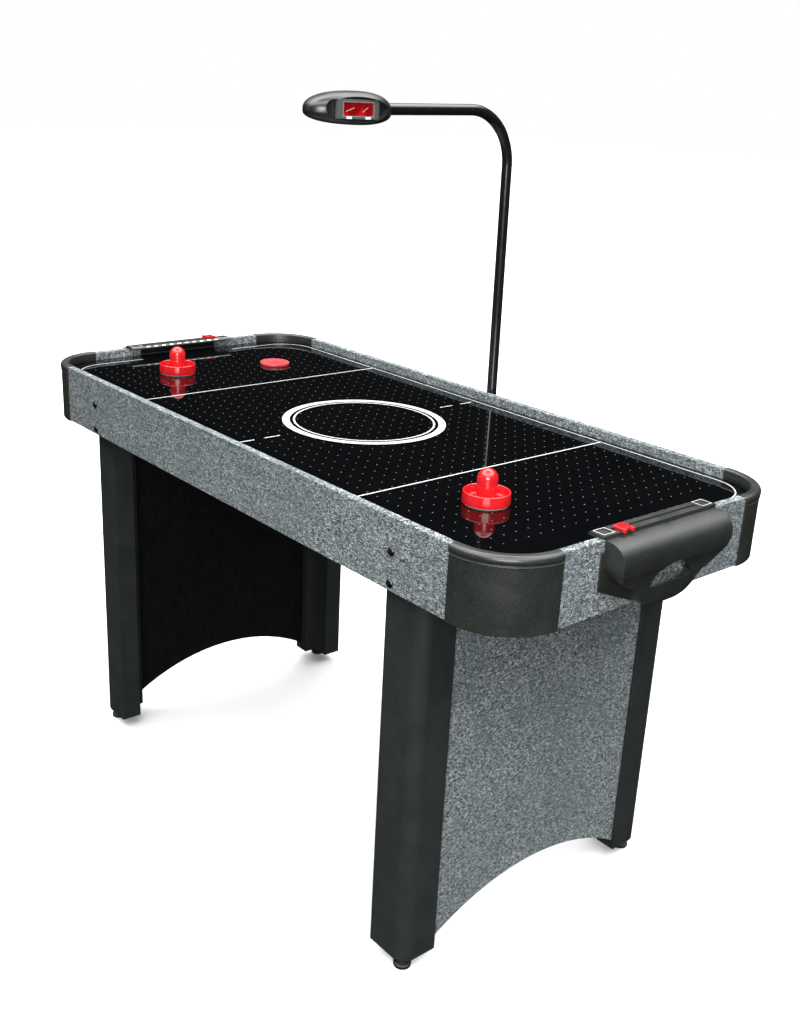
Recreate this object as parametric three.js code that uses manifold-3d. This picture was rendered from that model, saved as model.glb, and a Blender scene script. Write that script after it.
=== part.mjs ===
// A small air hockey table: granite-look rails with moulded corner caps, a glossy playfield over
// an air plenum, two panelled legs, a goal box with a sliding hand scorer at each end, and an
// electronic score display on a bent pole over the middle of the table.
//
// Millimetres, +Z up. X runs along the table, towards the near goal. Y runs across it, towards
// the score pole. The floor is Z = 0. Sub-parts are laid out about the middle of the playfield,
// and the whole table is then moved across so that X = Y = 0 is the middle of the overall box.
import * as THREE from 'three';
import { mergeVertices } from 'three/addons/utils/BufferGeometryUtils.js';
import Module from 'manifold-3d';

const wasm = await Module();
wasm.setup();

// ---- Driving dimensions ------------------------------------------------------------------

const GAP = 0.3; // between pieces that touch
const EXTRA = 5; // how far a cutting tool runs past what it cuts

const RAIL = { length: 1395.4, width: 633.4, top: 787, bottom: 672.6, thickness: 14 };
const CAP = { reach: 108.7, radius: 104, proud: 2, bead: 13, beadProud: 1.5, edge: 1.5 };
const FIELD = { top: 771, thickness: 9 };
const PLENUM = { floorTop: 750.4, floorThickness: 3, stripWidth: 18, inletRadius: 45 };

const LEG = {
  outerX: 520,
  outerY: 296.5,
  widthX: 83,
  widthY: 70.6,
  boardX: 40,
  boardY: 42,
  cornerRadius: 24,
  bottom: 22,
  top: 747,
};
const BOLT = { x: 468, heights: [735, 685], radius: 4, headRadius: 7, headHeight: 4.5, length: 46 };
const FOOT = { x: 498, y: 276, radius: 15.5, height: 12, stemRadius: 4, stemTop: 62 };
const PANEL = { recess: 6, thickness: 16, archTop: 103, archEnd: 40 };

const GOAL = { halfWidth: 98.5, floor: 770.4 };
const HOOD = {
  halfWidth: 125,
  depth: 45,
  wall: 2.5,
  flange: 7,
  flangeTop: 769,
  flangeBottom: 711,
  plateFoot: 681,
  plateFootHalf: 60,
  bottom: 667,
};
const FINGER = { halfWidth: 48, lip: 704, crown: 740 };
const SENSOR = { inner: 3, outer: 14, halfWidth: 14, thickness: 2, eyeInset: 2, eyeHalf: 5, eyeDrop: 9 };
const SCORE = { halfWidth: 128, inner: 668, outer: 698, top: 793, rest: 80, lintelDrop: 3 };
const GROOVE = { inner: 681, outer: 687, halfLength: 96, depth: 3.2 };
const BAR_RECESS = { inner: 674, outer: 692, start: 102, end: 122, depth: 2 };
const MARKER = { halfWidth: 11, saddleInset: 12, thickness: 4, prongInset: 6, prongReach: 5, prongDrop: 2 };

const POLE = { radius: 10, bore: 8, bendRadius: 100, armHeight: 1330, bottom: 668, standOff: 4.6, lean: 5 };
const BRACKET = { halfWidth: 24, inset: 8, thickness: 4, saddleHalf: 14, saddleInset: 12 };
const HEAD = { y: -47, height: 1325.5, nose: 102, tail: 70, width: 88, rise: 28, drop: 27, wall: 2.5 };
const HEAD_FORM = { taper: 2.3, squareness: 3.5 };
const DISPLAY = { y: -64, z: 1324.5, width: 86, height: 31, windowWidth: 63, windowHeight: 21, face: 34 };

const BLOWER = { radius: 85, wall: 3, bottom: 690, flange: 100, flangeThickness: 4, tipGap: 4 };
const GRILLE = { thickness: 3, sectors: 9, opened: 0.85, rings: [[31, 52], [56, 79]] };
const MOTOR = { radius: 27, height: 26, shaftRadius: 3, socketDepth: 12, spindleDepth: 10 };
const IMPELLER = { hubRadius: 20, hubHeight: 18, lift: 3, blades: 7, halfChord: 11, pitch: 0.75 };
const SWITCH_BOX = { halfWidth: 15, standOff: 12, rockerHalf: 9, rockerMiddle: 32, rockerReach: 10 };
const POWER_SOCKET = { radius: 6, height: 11, depth: 9 };
const MALLET = { radius: 38, base: 19, height: 56, knobRadius: 16.5, wall: 3.5, web: 4 };
const FELT_RING = { inner: 20, inset: 2, thickness: 1.2 };
const NEAR_MALLET = { x: 462.5, y: -127 };
const FAR_MALLET = { x: -498, y: -112 };
const PUCK = { radius: 32, thickness: 6, x: -467, y: 114 };

// ---- Values worked out from the driving dimensions ------------------------------------------

const END_X = RAIL.length / 2;
const SIDE_Y = RAIL.width / 2;
const RAIL_INNER_X = END_X - RAIL.thickness;
const RAIL_INNER_Y = SIDE_Y - RAIL.thickness;
const POLE_Y = SIDE_Y + POLE.standOff + POLE.radius;
const CENTRE_SHIFT = (POLE_Y + POLE.radius - SIDE_Y - CAP.proud - CAP.beadProud) / 2;
const STRIP_TOP = FIELD.top - FIELD.thickness - GAP;
const PLENUM_UNDERSIDE = PLENUM.floorTop - PLENUM.floorThickness;
const ENDS = [{ name: 'near', side: 1 }, { name: 'far', side: -1 }];
const SIDES = [{ name: 'left', side: -1 }, { name: 'right', side: 1 }];

// ---- Materials --------------------------------------------------------------------------------

const finish = (color, roughness, metalness = 0) => ({ color, roughness, metalness });
const GRANITE = finish(0x8b9597, 0.5);
const BLACK_PLASTIC = finish(0x1d1f1c, 0.45);
const FIELD_LAMINATE = finish(0x060708, 0.12);
const HARDBOARD = finish(0x5b4632, 0.85);
const LEG_VINYL = finish(0x1c1d1b, 0.5);
const FOOT_PLASTIC = finish(0x101010, 0.6);
const BOLT_STEEL = finish(0x15161a, 0.35, 0.7);
const RED_PLASTIC = finish(0xd3202a, 0.3);
const FELT = finish(0x1a1a1a, 0.95);
const POLE_PAINT = finish(0x0b0c0c, 0.25, 0.3);
const BEZEL_PLASTIC = finish(0x6f7a76, 0.5);
const RED_WINDOW = finish(0x8a0d10, 0.1);
const CIRCUIT_GREEN = finish(0x1f5a35, 0.6);
const MOTOR_STEEL = finish(0x9a9da0, 0.35, 0.9);
const SWITCH_RED = finish(0xb01818, 0.4);

const table = new THREE.Group();

function addPiece(name, geometry, look) {
  const mesh = new THREE.Mesh(geometry, new THREE.MeshStandardMaterial(look));
  mesh.name = name;
  table.add(mesh);
}

// ---- Solids: joining, cutting and mirroring -----------------------------------------------------

function toSolid(geometry) {
  const bare = geometry.clone();
  bare.deleteAttribute('normal');
  bare.deleteAttribute('uv');
  const merged = mergeVertices(bare, 1e-3);
  const vertProperties = new Float32Array(merged.attributes.position.array);
  const triVerts = new Uint32Array(merged.index.array);
  return new wasm.Manifold(new wasm.Mesh({ numProp: 3, vertProperties, triVerts }));
}

function toGeometry(solid) {
  const mesh = solid.getMesh();
  const geometry = new THREE.BufferGeometry();
  geometry.setAttribute('position', new THREE.BufferAttribute(mesh.vertProperties, 3));
  geometry.setIndex(new THREE.BufferAttribute(mesh.triVerts, 1));
  return geometry;
}

const join = (...parts) => toGeometry(parts.map(toSolid).reduce((a, b) => a.add(b)));
const common = (a, b) => toGeometry(toSolid(a).intersect(toSolid(b)));

function cut(body, ...tools) {
  return toGeometry(tools.map(toSolid).reduce((a, b) => a.subtract(b), toSolid(body)));
}

// The same solid in another corner of the table: x and y are 1 to keep a side, -1 to mirror it.
function mirrored(geometry, x, y) {
  const copy = geometry.index ? geometry.clone() : mergeVertices(geometry);
  copy.applyMatrix4(new THREE.Matrix4().makeScale(x, y, 1));
  if (x * y > 0) return copy;
  for (let i = 0; i < copy.index.count; i += 3) {
    const second = copy.index.getX(i + 1);
    copy.index.setX(i + 1, copy.index.getX(i + 2));
    copy.index.setX(i + 2, second);
  }
  return copy;
}

// ---- Basic shapes ---------------------------------------------------------------------------------

const inOrder = (a, b) => [Math.min(a, b), Math.max(a, b)];

function box(low, high) {
  const size = high.map((value, axis) => value - low[axis]);
  const middle = high.map((value, axis) => (value + low[axis]) / 2);
  return new THREE.BoxGeometry(...size).translate(...middle);
}

function outline(points) {
  return new THREE.Shape(points.map(([x, y]) => new THREE.Vector2(x, y)));
}

// A flat outline given as X and Y, raised from one height to another.
function prismZ(shape, low, high, curveSegments = 8) {
  return new THREE.ExtrudeGeometry(shape, { depth: high - low, bevelEnabled: false, curveSegments })
    .translate(0, 0, low);
}

const AXIS_X = new THREE.Vector3(1, 0, 0);
const AXIS_Y = new THREE.Vector3(0, 1, 0);
const AXIS_Z = new THREE.Vector3(0, 0, 1);

// A flat outline given as Y and Z, drawn out along X.
function prismX(shape, low, high, curveSegments = 8) {
  return prismZ(shape, low, high, curveSegments)
    .applyMatrix4(new THREE.Matrix4().makeBasis(AXIS_Y, AXIS_Z, AXIS_X));
}

// A flat outline given as X and Z, drawn out along Y.
function prismY(shape, low, high, curveSegments = 8) {
  return prismZ(shape, -high, -low, curveSegments)
    .applyMatrix4(new THREE.Matrix4().makeBasis(AXIS_X, AXIS_Z, AXIS_Y.clone().negate()));
}

// A solid of revolution about a vertical axis; the profile is radius and height, from the bottom up.
function turned(profile, sides, x = 0, y = 0) {
  return new THREE.LatheGeometry(profile.map(([r, z]) => new THREE.Vector2(r, z)), sides)
    .rotateX(Math.PI / 2)
    .translate(x, y, 0);
}

function postZ(radius, low, high, x, y, sides = 16) {
  return turned([[0, low], [radius, low], [radius, high], [0, high]], sides, x, y);
}

// A round bar across the table, along Y.
function postY(radius, low, high, x, z, sides = 16) {
  return postZ(radius, -high, -low, 0, 0, sides).rotateX(Math.PI / 2).translate(x, 0, z);
}

function arcPoints(centreX, centreY, radius, from, to, steps) {
  const points = [];
  for (let i = 0; i <= steps; i += 1) {
    const angle = from + ((to - from) * i) / steps;
    points.push([centreX + radius * Math.cos(angle), centreY + radius * Math.sin(angle)]);
  }
  return points;
}

// ---- Rails and corner caps ---------------------------------------------------------------------

function buildSideRails() {
  const halfLength = END_X - CAP.reach - GAP;
  for (const { name, side } of SIDES) {
    const [low, high] = inOrder(side * RAIL_INNER_Y, side * SIDE_Y);
    const board = box([-halfLength, low, RAIL.bottom], [halfLength, high, RAIL.top]);
    const holes = [-1, 1].flatMap((end) => BOLT.heights.map((height) =>
      postY(BOLT.radius + GAP, low - EXTRA, high + EXTRA, end * BOLT.x, height, 12)));
    addPiece(`side_rail_${name}`, cut(board, ...holes), GRANITE);
  }
}

function buildEndRails() {
  const halfWidth = SIDE_Y - CAP.reach - GAP;
  const board = box([RAIL_INNER_X, -halfWidth, RAIL.bottom], [END_X, halfWidth, RAIL.top]);
  const goalSlot = box(
    [RAIL_INNER_X - EXTRA, -GOAL.halfWidth, GOAL.floor],
    [END_X + EXTRA, GOAL.halfWidth, RAIL.top + EXTRA],
  );
  const rail = cut(board, goalSlot);
  for (const { name, side } of ENDS) addPiece(`end_rail_${name}`, mirrored(rail, side, 1), GRANITE);
}

// The plan of a corner wall: straight, round the corner, straight, and back along the inside.
function cornerWall(outwards, inwards, steps) {
  const [cx, cy] = [END_X - CAP.radius, SIDE_Y - CAP.radius];
  const outer = CAP.radius + outwards;
  const inner = CAP.radius - RAIL.thickness - inwards;
  return outline([
    [END_X - CAP.reach, cy + inner],
    ...arcPoints(cx, cy, inner, Math.PI / 2, 0, steps),
    [cx + inner, SIDE_Y - CAP.reach],
    [cx + outer, SIDE_Y - CAP.reach],
    ...arcPoints(cx, cy, outer, 0, Math.PI / 2, steps),
    [END_X - CAP.reach, cy + outer],
  ]);
}

function buildCornerCaps() {
  const steps = 9;
  const beadBottom = RAIL.top - CAP.bead;
  const skirt = prismZ(cornerWall(CAP.proud - CAP.edge, 0, steps), RAIL.bottom - CAP.edge, RAIL.bottom);
  const wall = prismZ(cornerWall(CAP.proud, 0, steps), RAIL.bottom, beadBottom);
  const bead = prismZ(cornerWall(CAP.proud + CAP.beadProud, 1, steps), beadBottom, RAIL.top - CAP.edge);
  const crown = prismZ(cornerWall(CAP.proud, 0, steps), RAIL.top - CAP.edge, RAIL.top + CAP.edge);
  const cap = join(skirt, wall, bead, crown);
  for (const end of ENDS) {
    for (const { name, side } of SIDES) {
      addPiece(`corner_cap_${end.name}_${name}`, mirrored(cap, end.side, side), BLACK_PLASTIC);
    }
  }
}

// ---- Playfield and air plenum --------------------------------------------------------------------

function buildPlayfield() {
  const inset = GAP + 1.2;
  const [halfX, halfY] = [RAIL_INNER_X - inset, RAIL_INNER_Y - inset];
  const radius = CAP.radius - RAIL.thickness - inset;
  const quarter = Math.PI / 2;
  const corners = [[1, 1], [-1, 1], [-1, -1], [1, -1]].flatMap(([x, y], i) =>
    arcPoints(x * (halfX - radius), y * (halfY - radius), radius, i * quarter, (i + 1) * quarter, 8));
  const board = prismZ(outline(corners), FIELD.top - FIELD.thickness, FIELD.top);
  addPiece('playfield', board, FIELD_LAMINATE);
}

function buildPlenum() {
  const [halfX, halfY] = [RAIL_INNER_X - 50, RAIL_INNER_Y - 12];
  const { floorTop, stripWidth, inletRadius } = PLENUM;
  const floor = box([-halfX, -halfY, PLENUM_UNDERSIDE + GAP], [halfX, halfY, floorTop]);
  const inlet = postZ(inletRadius, PLENUM_UNDERSIDE - EXTRA, floorTop + EXTRA, 0, 0, 28);
  addPiece('plenum_floor', cut(floor, inlet), HARDBOARD);
  const [low, high] = [floorTop + GAP, STRIP_TOP];
  for (const { name, side } of SIDES) {
    const strip = box([-halfX, halfY - stripWidth, low], [halfX, halfY, high]);
    addPiece(`plenum_strip_${name}`, mirrored(strip, 1, side), HARDBOARD);
  }
  const reach = halfY - stripWidth - GAP;
  for (const { name, side } of ENDS) {
    const strip = box([halfX - stripWidth, -reach, low], [halfX, reach, high]);
    addPiece(`plenum_strip_${name}`, mirrored(strip, side, 1), HARDBOARD);
  }
}

// ---- Legs ------------------------------------------------------------------------------------------

// An L-shaped corner post with a rounded outer corner, thickened where the rail bolts to it.
function legPost() {
  const { outerX, outerY, widthX, widthY, boardX, boardY, cornerRadius: r } = LEG;
  const plan = outline([
    [outerX - widthX, outerY - boardY],
    [outerX - boardX, outerY - boardY],
    [outerX - boardX, outerY - widthY],
    [outerX, outerY - widthY],
    ...arcPoints(outerX - r, outerY - r, r, 0, Math.PI / 2, 6),
    [outerX - widthX, outerY],
  ]);
  const post = prismZ(plan, LEG.bottom, LEG.top);
  const pad = box(
    [outerX - widthX, outerY - 1, RAIL.bottom + 2],
    [outerX - r, RAIL_INNER_Y - GAP, LEG.top],
  );
  const holes = BOLT.heights.map((height) =>
    postY(BOLT.radius + GAP, SIDE_Y - BOLT.length - GAP, SIDE_Y + EXTRA, BOLT.x, height, 12));
  const stemHole = postZ(FOOT.stemRadius + GAP, LEG.bottom - EXTRA, FOOT.stemTop + 12, FOOT.x, FOOT.y, 12);
  return cut(join(post, pad), ...holes, stemHole);
}

// A domed bolt through the side rail into the post.
function legBolt(height) {
  const { radius, headRadius, headHeight, length } = BOLT;
  const profile = [
    [0, -length],
    [radius, -length],
    [radius, GAP],
    [headRadius, GAP],
    [headRadius * 0.9, headHeight * 0.55],
    [headRadius * 0.55, headHeight * 0.92],
    [0, headHeight],
  ];
  return turned(profile, 10).rotateX(-Math.PI / 2).translate(BOLT.x, SIDE_Y, height);
}

// A levelling foot: a moulded disc on a threaded stem.
function levellingFoot() {
  const { radius, height, stemRadius, stemTop } = FOOT;
  const profile = [
    [0, 0],
    [radius - 1.5, 0],
    [radius, 2],
    [radius, height * 0.55],
    [radius * 0.62, height],
    [stemRadius, height],
    [stemRadius, stemTop],
    [0, stemTop],
  ];
  return turned(profile, 14, FOOT.x, FOOT.y);
}

function buildLegs() {
  const post = legPost();
  const foot = levellingFoot();
  const bolts = { upper: legBolt(BOLT.heights[0]), lower: legBolt(BOLT.heights[1]) };
  for (const end of ENDS) {
    for (const { name, side } of SIDES) {
      const corner = `${end.name}_${name}`;
      addPiece(`leg_post_${corner}`, mirrored(post, end.side, side), LEG_VINYL);
      addPiece(`levelling_foot_${corner}`, mirrored(foot, end.side, side), FOOT_PLASTIC);
      for (const [level, bolt] of Object.entries(bolts)) {
        addPiece(`leg_bolt_${corner}_${level}`, mirrored(bolt, end.side, side), BOLT_STEEL);
      }
    }
  }
}

// The board between two posts, arched along its bottom edge.
function buildEndPanels() {
  const half = LEG.outerY - LEG.widthY - GAP;
  const rise = PANEL.archTop - PANEL.archEnd;
  const radius = (half * half + rise * rise) / (2 * rise);
  const sweep = Math.asin(half / radius);
  const arch = arcPoints(0, PANEL.archTop - radius, radius, Math.PI / 2 + sweep, Math.PI / 2 - sweep, 18);
  const shape = outline([...arch, [half, LEG.top - GAP], [-half, LEG.top - GAP]]);
  const face = LEG.outerX - PANEL.recess;
  const panel = prismX(shape, face - PANEL.thickness, face);
  for (const { name, side } of ENDS) addPiece(`end_panel_${name}`, mirrored(panel, side, 1), GRANITE);
}

// ---- Goal boxes and hand scorers --------------------------------------------------------------------

// The side view of the goal box, X and Z, drawn in by the wall thickness for its hollow.
function hoodProfile(wall) {
  const back = END_X + GAP;
  const top = RAIL.top + GAP - wall;
  return outline([
    [back - (wall ? EXTRA : 0), HOOD.bottom + wall],
    [711 - wall / 2, HOOD.bottom + wall],
    [718 - wall, HOOD.bottom + 9],
    [726.5 - wall, 722],
    [733 - wall, 740],
    [736 - wall, 756],
    [735 - wall, 767],
    [731 - wall, 775],
    [723 - wall * 0.8, 782 - wall * 0.6],
    [711 - wall * 0.3, 786.2 - wall],
    [back + 2, top],
    [back - (wall ? EXTRA : 0), top],
  ]);
}

// The front view of the goal box, Y and Z: a wide hood that draws in to a rounded catch tray.
function hoodFront(wall) {
  const half = HOOD.halfWidth - wall;
  const side = [
    [half, RAIL.top + EXTRA],
    [half, 748],
    [half - 8, 736],
    [104 - wall, 722 + wall * 0.6],
    [82 - wall, 711 + wall * 0.6],
    [68 - wall, 703 + wall * 0.5],
    [61 - wall, 690],
    [47 - wall * 0.8, HOOD.bottom + 10 + wall * 0.6],
    [26 - wall * 0.4, HOOD.bottom + 2.5 + wall],
  ];
  const otherSide = side.map(([y, z]) => [-y, z]);
  return outline([...otherSide, [0, HOOD.bottom + wall], ...side.reverse()]);
}

function fingerOpening() {
  const { halfWidth, lip, crown } = FINGER;
  const rise = crown - lip - 4;
  const radius = (halfWidth * halfWidth + rise * rise) / (2 * rise);
  const sweep = Math.asin(Math.min(1, halfWidth / radius));
  const arch = arcPoints(0, crown - radius, radius, Math.PI / 2 - sweep, Math.PI / 2 + sweep, 12);
  const shape = outline([...arch, [-halfWidth * 0.7, lip], [halfWidth * 0.7, lip]]);
  return prismX(shape, END_X + HOOD.wall * 4, END_X + HOOD.depth);
}

// The plate behind the hood, which tapers below its square shoulders to meet the catch tray.
function backPlateOutline() {
  const { halfWidth, flange, flangeTop, flangeBottom, plateFoot, plateFootHalf } = HOOD;
  const reach = halfWidth + flange;
  return outline([
    [-reach, flangeTop],
    [-reach, flangeBottom],
    [-plateFootHalf, plateFoot],
    [plateFootHalf, plateFoot],
    [reach, flangeBottom],
    [reach, flangeTop],
  ]);
}

function goalBox() {
  const { halfWidth, wall } = HOOD;
  const shell = common(
    prismY(hoodProfile(0), -halfWidth, halfWidth),
    prismX(hoodFront(0), END_X, END_X + HOOD.depth),
  );
  const hollow = common(
    prismY(hoodProfile(wall), -halfWidth, halfWidth),
    prismX(hoodFront(wall), END_X - EXTRA, END_X + HOOD.depth),
  );
  const plate = prismX(backPlateOutline(), END_X + GAP, END_X + GAP + wall);
  return cut(join(shell, plate), hollow, fingerOpening());
}

// The optical puck sensor clipped under the roof of the goal box.
function goalSensor() {
  const { inner, outer, halfWidth, thickness, eyeInset, eyeHalf, eyeDrop } = SENSOR;
  const top = RAIL.top - HOOD.wall - GAP - thickness;
  const board = box([END_X + inner, -halfWidth, top - thickness], [END_X + outer, halfWidth, top]);
  const eye = box(
    [END_X + inner + eyeInset, -eyeHalf, top + thickness - eyeDrop],
    [END_X + outer - eyeInset, eyeHalf, top - thickness / 2],
  );
  return join(board, eye);
}

// The scorer's track: a bar across the top of the goal with a groove that guides the marker.
function scoreBar() {
  const { halfWidth, inner, outer, top, lintelDrop } = SCORE;
  const deck = RAIL.top + GAP;
  const slotHalf = GOAL.halfWidth - GAP;
  const body = box([inner, -halfWidth, deck], [outer, halfWidth, top]);
  const lintel = box([RAIL_INNER_X, -slotHalf, deck - lintelDrop], [END_X, slotHalf, deck]);
  const groove = box(
    [GROOVE.inner, -GROOVE.halfLength, top - GROOVE.depth],
    [GROOVE.outer, GROOVE.halfLength, top + EXTRA],
  );
  const slope = outline([
    [inner - EXTRA, top - 3],
    [inner, top - 3],
    [inner + 4, top + GAP],
    [inner - EXTRA, top + 1],
  ]);
  const chamfer = prismY(slope, -halfWidth - EXTRA, halfWidth + EXTRA);
  return cut(join(body, lintel), groove, chamfer, barRecess(-1), barRecess(1));
}

function barRecess(side) {
  const { inner, outer, start, end, depth } = BAR_RECESS;
  const [low, high] = inOrder(side * start, side * end);
  return box([inner, low, SCORE.top - depth], [outer, high, SCORE.top + EXTRA]);
}

// The marker: a clip that straddles the bar, with a key in the groove and two prongs to push.
function scoreMarker() {
  const { inner, outer, top, rest } = SCORE;
  const { halfWidth, saddleInset, thickness, prongInset, prongReach, prongDrop } = MARKER;
  const low = top + GAP;
  const high = low + thickness;
  const saddle = box(
    [inner + saddleInset, rest - halfWidth, low],
    [outer + 1, rest + halfWidth, high],
  );
  const key = box(
    [GROOVE.inner + GAP, rest - halfWidth + 2, top - GROOVE.depth + 0.5],
    [GROOVE.outer - GAP, rest + halfWidth - 2, low + 1],
  );
  const prongs = [-1, 1].map((side) => {
    const [from, to] = inOrder(rest + side * prongInset, rest + side * halfWidth);
    return box([outer, from, low - prongDrop], [outer + prongReach, to, high]);
  });
  return join(saddle, key, ...prongs);
}

function buildGoals() {
  const pieces = [
    ['goal_box', goalBox(), BLACK_PLASTIC],
    ['goal_sensor', goalSensor(), CIRCUIT_GREEN],
    ['score_bar', scoreBar(), BLACK_PLASTIC],
    ['score_marker', scoreMarker(), RED_PLASTIC],
  ];
  for (const { name, side } of ENDS) {
    for (const [piece, geometry, look] of pieces) {
      addPiece(`${piece}_${name}`, mirrored(geometry, side, -side), look);
    }
  }
}

// ---- Score pole and display head --------------------------------------------------------------------

// A centre line through stations, which an extrusion meets one after another, near or far apart.
class StationLine extends THREE.Curve {
  constructor(stations) {
    super();
    this.stations = stations;
  }

  getPoint(t, target = new THREE.Vector3()) {
    const place = Math.min(Math.max(t, 0), 1) * (this.stations.length - 1);
    const index = Math.min(Math.floor(place), this.stations.length - 2);
    return target.lerpVectors(this.stations[index], this.stations[index + 1], place - index);
  }

  getUtoTmapping(u) {
    return u;
  }
}

// A bent tube: up from the foot, leaning in a little, a quarter bend, and the arm out to the head.
function buildPole() {
  const { radius, bore, bendRadius, armHeight, bottom, lean } = POLE;
  const armEnd = HEAD.y + HEAD.tail - 14;
  const bendY = POLE_Y - lean - bendRadius;
  const bend = arcPoints(bendY, armHeight - bendRadius, bendRadius, 0, Math.PI / 2, 10);
  const places = [[POLE_Y, bottom], [POLE_Y, RAIL.top], ...bend, [armEnd, HEAD.height]];
  const line = new StationLine(places.map(([y, z]) => new THREE.Vector3(0, y, z)));
  const section = new THREE.Shape().absarc(0, 0, radius, 0, Math.PI * 2);
  section.holes.push(new THREE.Path().absarc(0, 0, bore, 0, Math.PI * 2, true));
  const settings = { steps: places.length - 1, curveSegments: 8, extrudePath: line };
  addPiece('score_pole', new THREE.ExtrudeGeometry(section, settings), POLE_PAINT);
}

// The channel that holds the pole's foot against the side rail.
function buildPoleBracket() {
  const { radius, bottom } = POLE;
  const { halfWidth, inset, thickness, saddleHalf, saddleInset } = BRACKET;
  const back = box(
    [-halfWidth, SIDE_Y + GAP, bottom + inset],
    [halfWidth, SIDE_Y + thickness, RAIL.top - inset],
  );
  const saddle = box(
    [-saddleHalf, SIDE_Y + thickness / 2, bottom + saddleInset],
    [saddleHalf, POLE_Y + radius - 3, RAIL.top - saddleInset],
  );
  const hole = postZ(radius + GAP + 0.2, bottom - EXTRA, RAIL.top + EXTRA, 0, POLE_Y, 24);
  addPiece('pole_bracket', cut(join(back, saddle), hole), BLACK_PLASTIC);
}

// A value between -1 and 1 pushed outwards, which squares off a circle.
const squared = (value, power) => Math.sign(value) * Math.abs(value) ** (2 / power);

// The head's outer form: a long egg with a squared cross section, of one height over the seam.
function headForm(height, inset) {
  const form = new THREE.SphereGeometry(1, 24, 14);
  const position = form.attributes.position;
  const { taper, squareness } = HEAD_FORM;
  for (let i = 0; i < position.count; i += 1) {
    const [side, along, up] = [position.getX(i), position.getY(i), position.getZ(i)];
    const round = Math.hypot(side, up);
    const girth = Math.abs(squared(round, taper));
    const [cosine, sine] = round > 0 ? [side / round, up / round] : [0, 0];
    const reach = along > 0 ? HEAD.tail : HEAD.nose;
    position.setXYZ(
      i,
      (HEAD.width / 2 - inset) * girth * squared(cosine, squareness),
      (reach - inset) * squared(along, taper),
      (height - inset) * girth * squared(sine, squareness),
    );
  }
  return form.translate(0, HEAD.y, HEAD.height);
}

function buildHead() {
  const seam = HEAD.height;
  const low = [-HEAD.width, HEAD.y - 2 * HEAD.nose];
  const high = [HEAD.width, HEAD.y + 2 * HEAD.nose];
  const above = box([...low, seam + GAP / 2], [...high, seam + 2 * HEAD.rise]);
  const below = box([...low, seam - 2 * HEAD.drop], [...high, seam - GAP / 2]);
  const armHole = postY(POLE.radius + GAP + 0.3, HEAD.y + 30, HEAD.y + 2 * HEAD.tail, 0, seam, 24);
  const [holeWidth, holeHeight] = [DISPLAY.width + 2 * GAP, DISPLAY.height + 2 * GAP];
  const windowHole = displayPlate(-HEAD.width, HEAD.width, holeWidth, holeHeight);
  const shell = (height, half) =>
    cut(common(headForm(height, 0), half), headForm(height, HEAD.wall), armHole, windowHole);
  addPiece('head_upper_shell', shell(HEAD.rise, above), BLACK_PLASTIC);
  addPiece('head_lower_shell', shell(HEAD.drop, below), BLACK_PLASTIC);
}

// An upright slab between two X positions, centred on the display.
function displayPlate(low, high, width, height) {
  const { y, z } = DISPLAY;
  return box([low, y - width / 2, z - height / 2], [high, y + width / 2, z + height / 2]);
}

// A frame and a red window on each long side of the head, with the board between them.
function buildDisplays() {
  const { width, height, windowWidth, windowHeight, face } = DISPLAY;
  const hole = displayPlate(face - 9, face + 1, windowWidth, windowHeight);
  const frame = cut(displayPlate(face - 8, face, width, height), hole);
  const window = displayPlate(face - 6, face - 2, windowWidth - 2 * GAP, windowHeight - 2 * GAP);
  for (const { name, side } of ENDS) {
    addPiece(`display_bezel_${name}`, mirrored(frame, side, 1), BEZEL_PLASTIC);
    addPiece(`display_window_${name}`, mirrored(window, side, 1), RED_WINDOW);
  }
  addPiece('score_board', displayPlate(-12, 12, windowWidth, windowHeight - 3), CIRCUIT_GREEN);
}

// ---- Air blower under the plenum ------------------------------------------------------------------

const BLOWER_TOP = PLENUM_UNDERSIDE - GAP;

function buildBlowerHousing() {
  const { radius, wall, bottom, flange, flangeThickness } = BLOWER;
  const lidBottom = BLOWER_TOP - flangeThickness;
  const drum = postZ(radius, bottom, BLOWER_TOP, 0, 0, 32);
  const lid = box([-flange, -flange, lidBottom], [flange, flange, BLOWER_TOP]);
  const inside = postZ(radius - wall, bottom - EXTRA, lidBottom, 0, 0, 32);
  const outlet = postZ(PLENUM.inletRadius, bottom, BLOWER_TOP + EXTRA, 0, 0, 28);
  const { halfWidth, standOff, rockerHalf, rockerMiddle, rockerReach } = SWITCH_BOX;
  const face = radius + standOff;
  const switchBox = box([-halfWidth, radius - 8, bottom + 2], [halfWidth, face, BLOWER_TOP - 3]);
  const switchHole = box(
    [-rockerHalf, radius - 9, bottom + rockerMiddle - rockerReach],
    [rockerHalf, face + 1, bottom + rockerMiddle + rockerReach],
  );
  const socketHeight = bottom + POWER_SOCKET.height;
  const socket = postY(POWER_SOCKET.radius, face - POWER_SOCKET.depth, face + EXTRA, 0, socketHeight, 12);
  const body = join(drum, lid, switchBox);
  addPiece('blower_housing', cut(body, inside, outlet, switchHole, socket), BLACK_PLASTIC);
}

// The finger guard over the fan's intake, which also carries the motor.
function buildBlowerGrille() {
  const { radius, bottom } = BLOWER;
  const disc = postZ(radius, bottom - GRILLE.thickness - GAP, bottom - GAP, 0, 0, 32);
  const pitch = (2 * Math.PI) / GRILLE.sectors;
  const slots = [];
  for (let i = 0; i < GRILLE.sectors; i += 1) {
    const [start, end] = [i * pitch, (i + GRILLE.opened) * pitch];
    for (const [inner, outer] of GRILLE.rings) {
      const outerArc = arcPoints(0, 0, outer, start, end, 2);
      const innerArc = arcPoints(0, 0, inner, end, start, 2);
      slots.push(prismZ(outline([...outerArc, ...innerArc]), bottom - EXTRA * 2, bottom + EXTRA));
    }
  }
  addPiece('blower_grille', cut(disc, ...slots), BLACK_PLASTIC);
}

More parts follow.
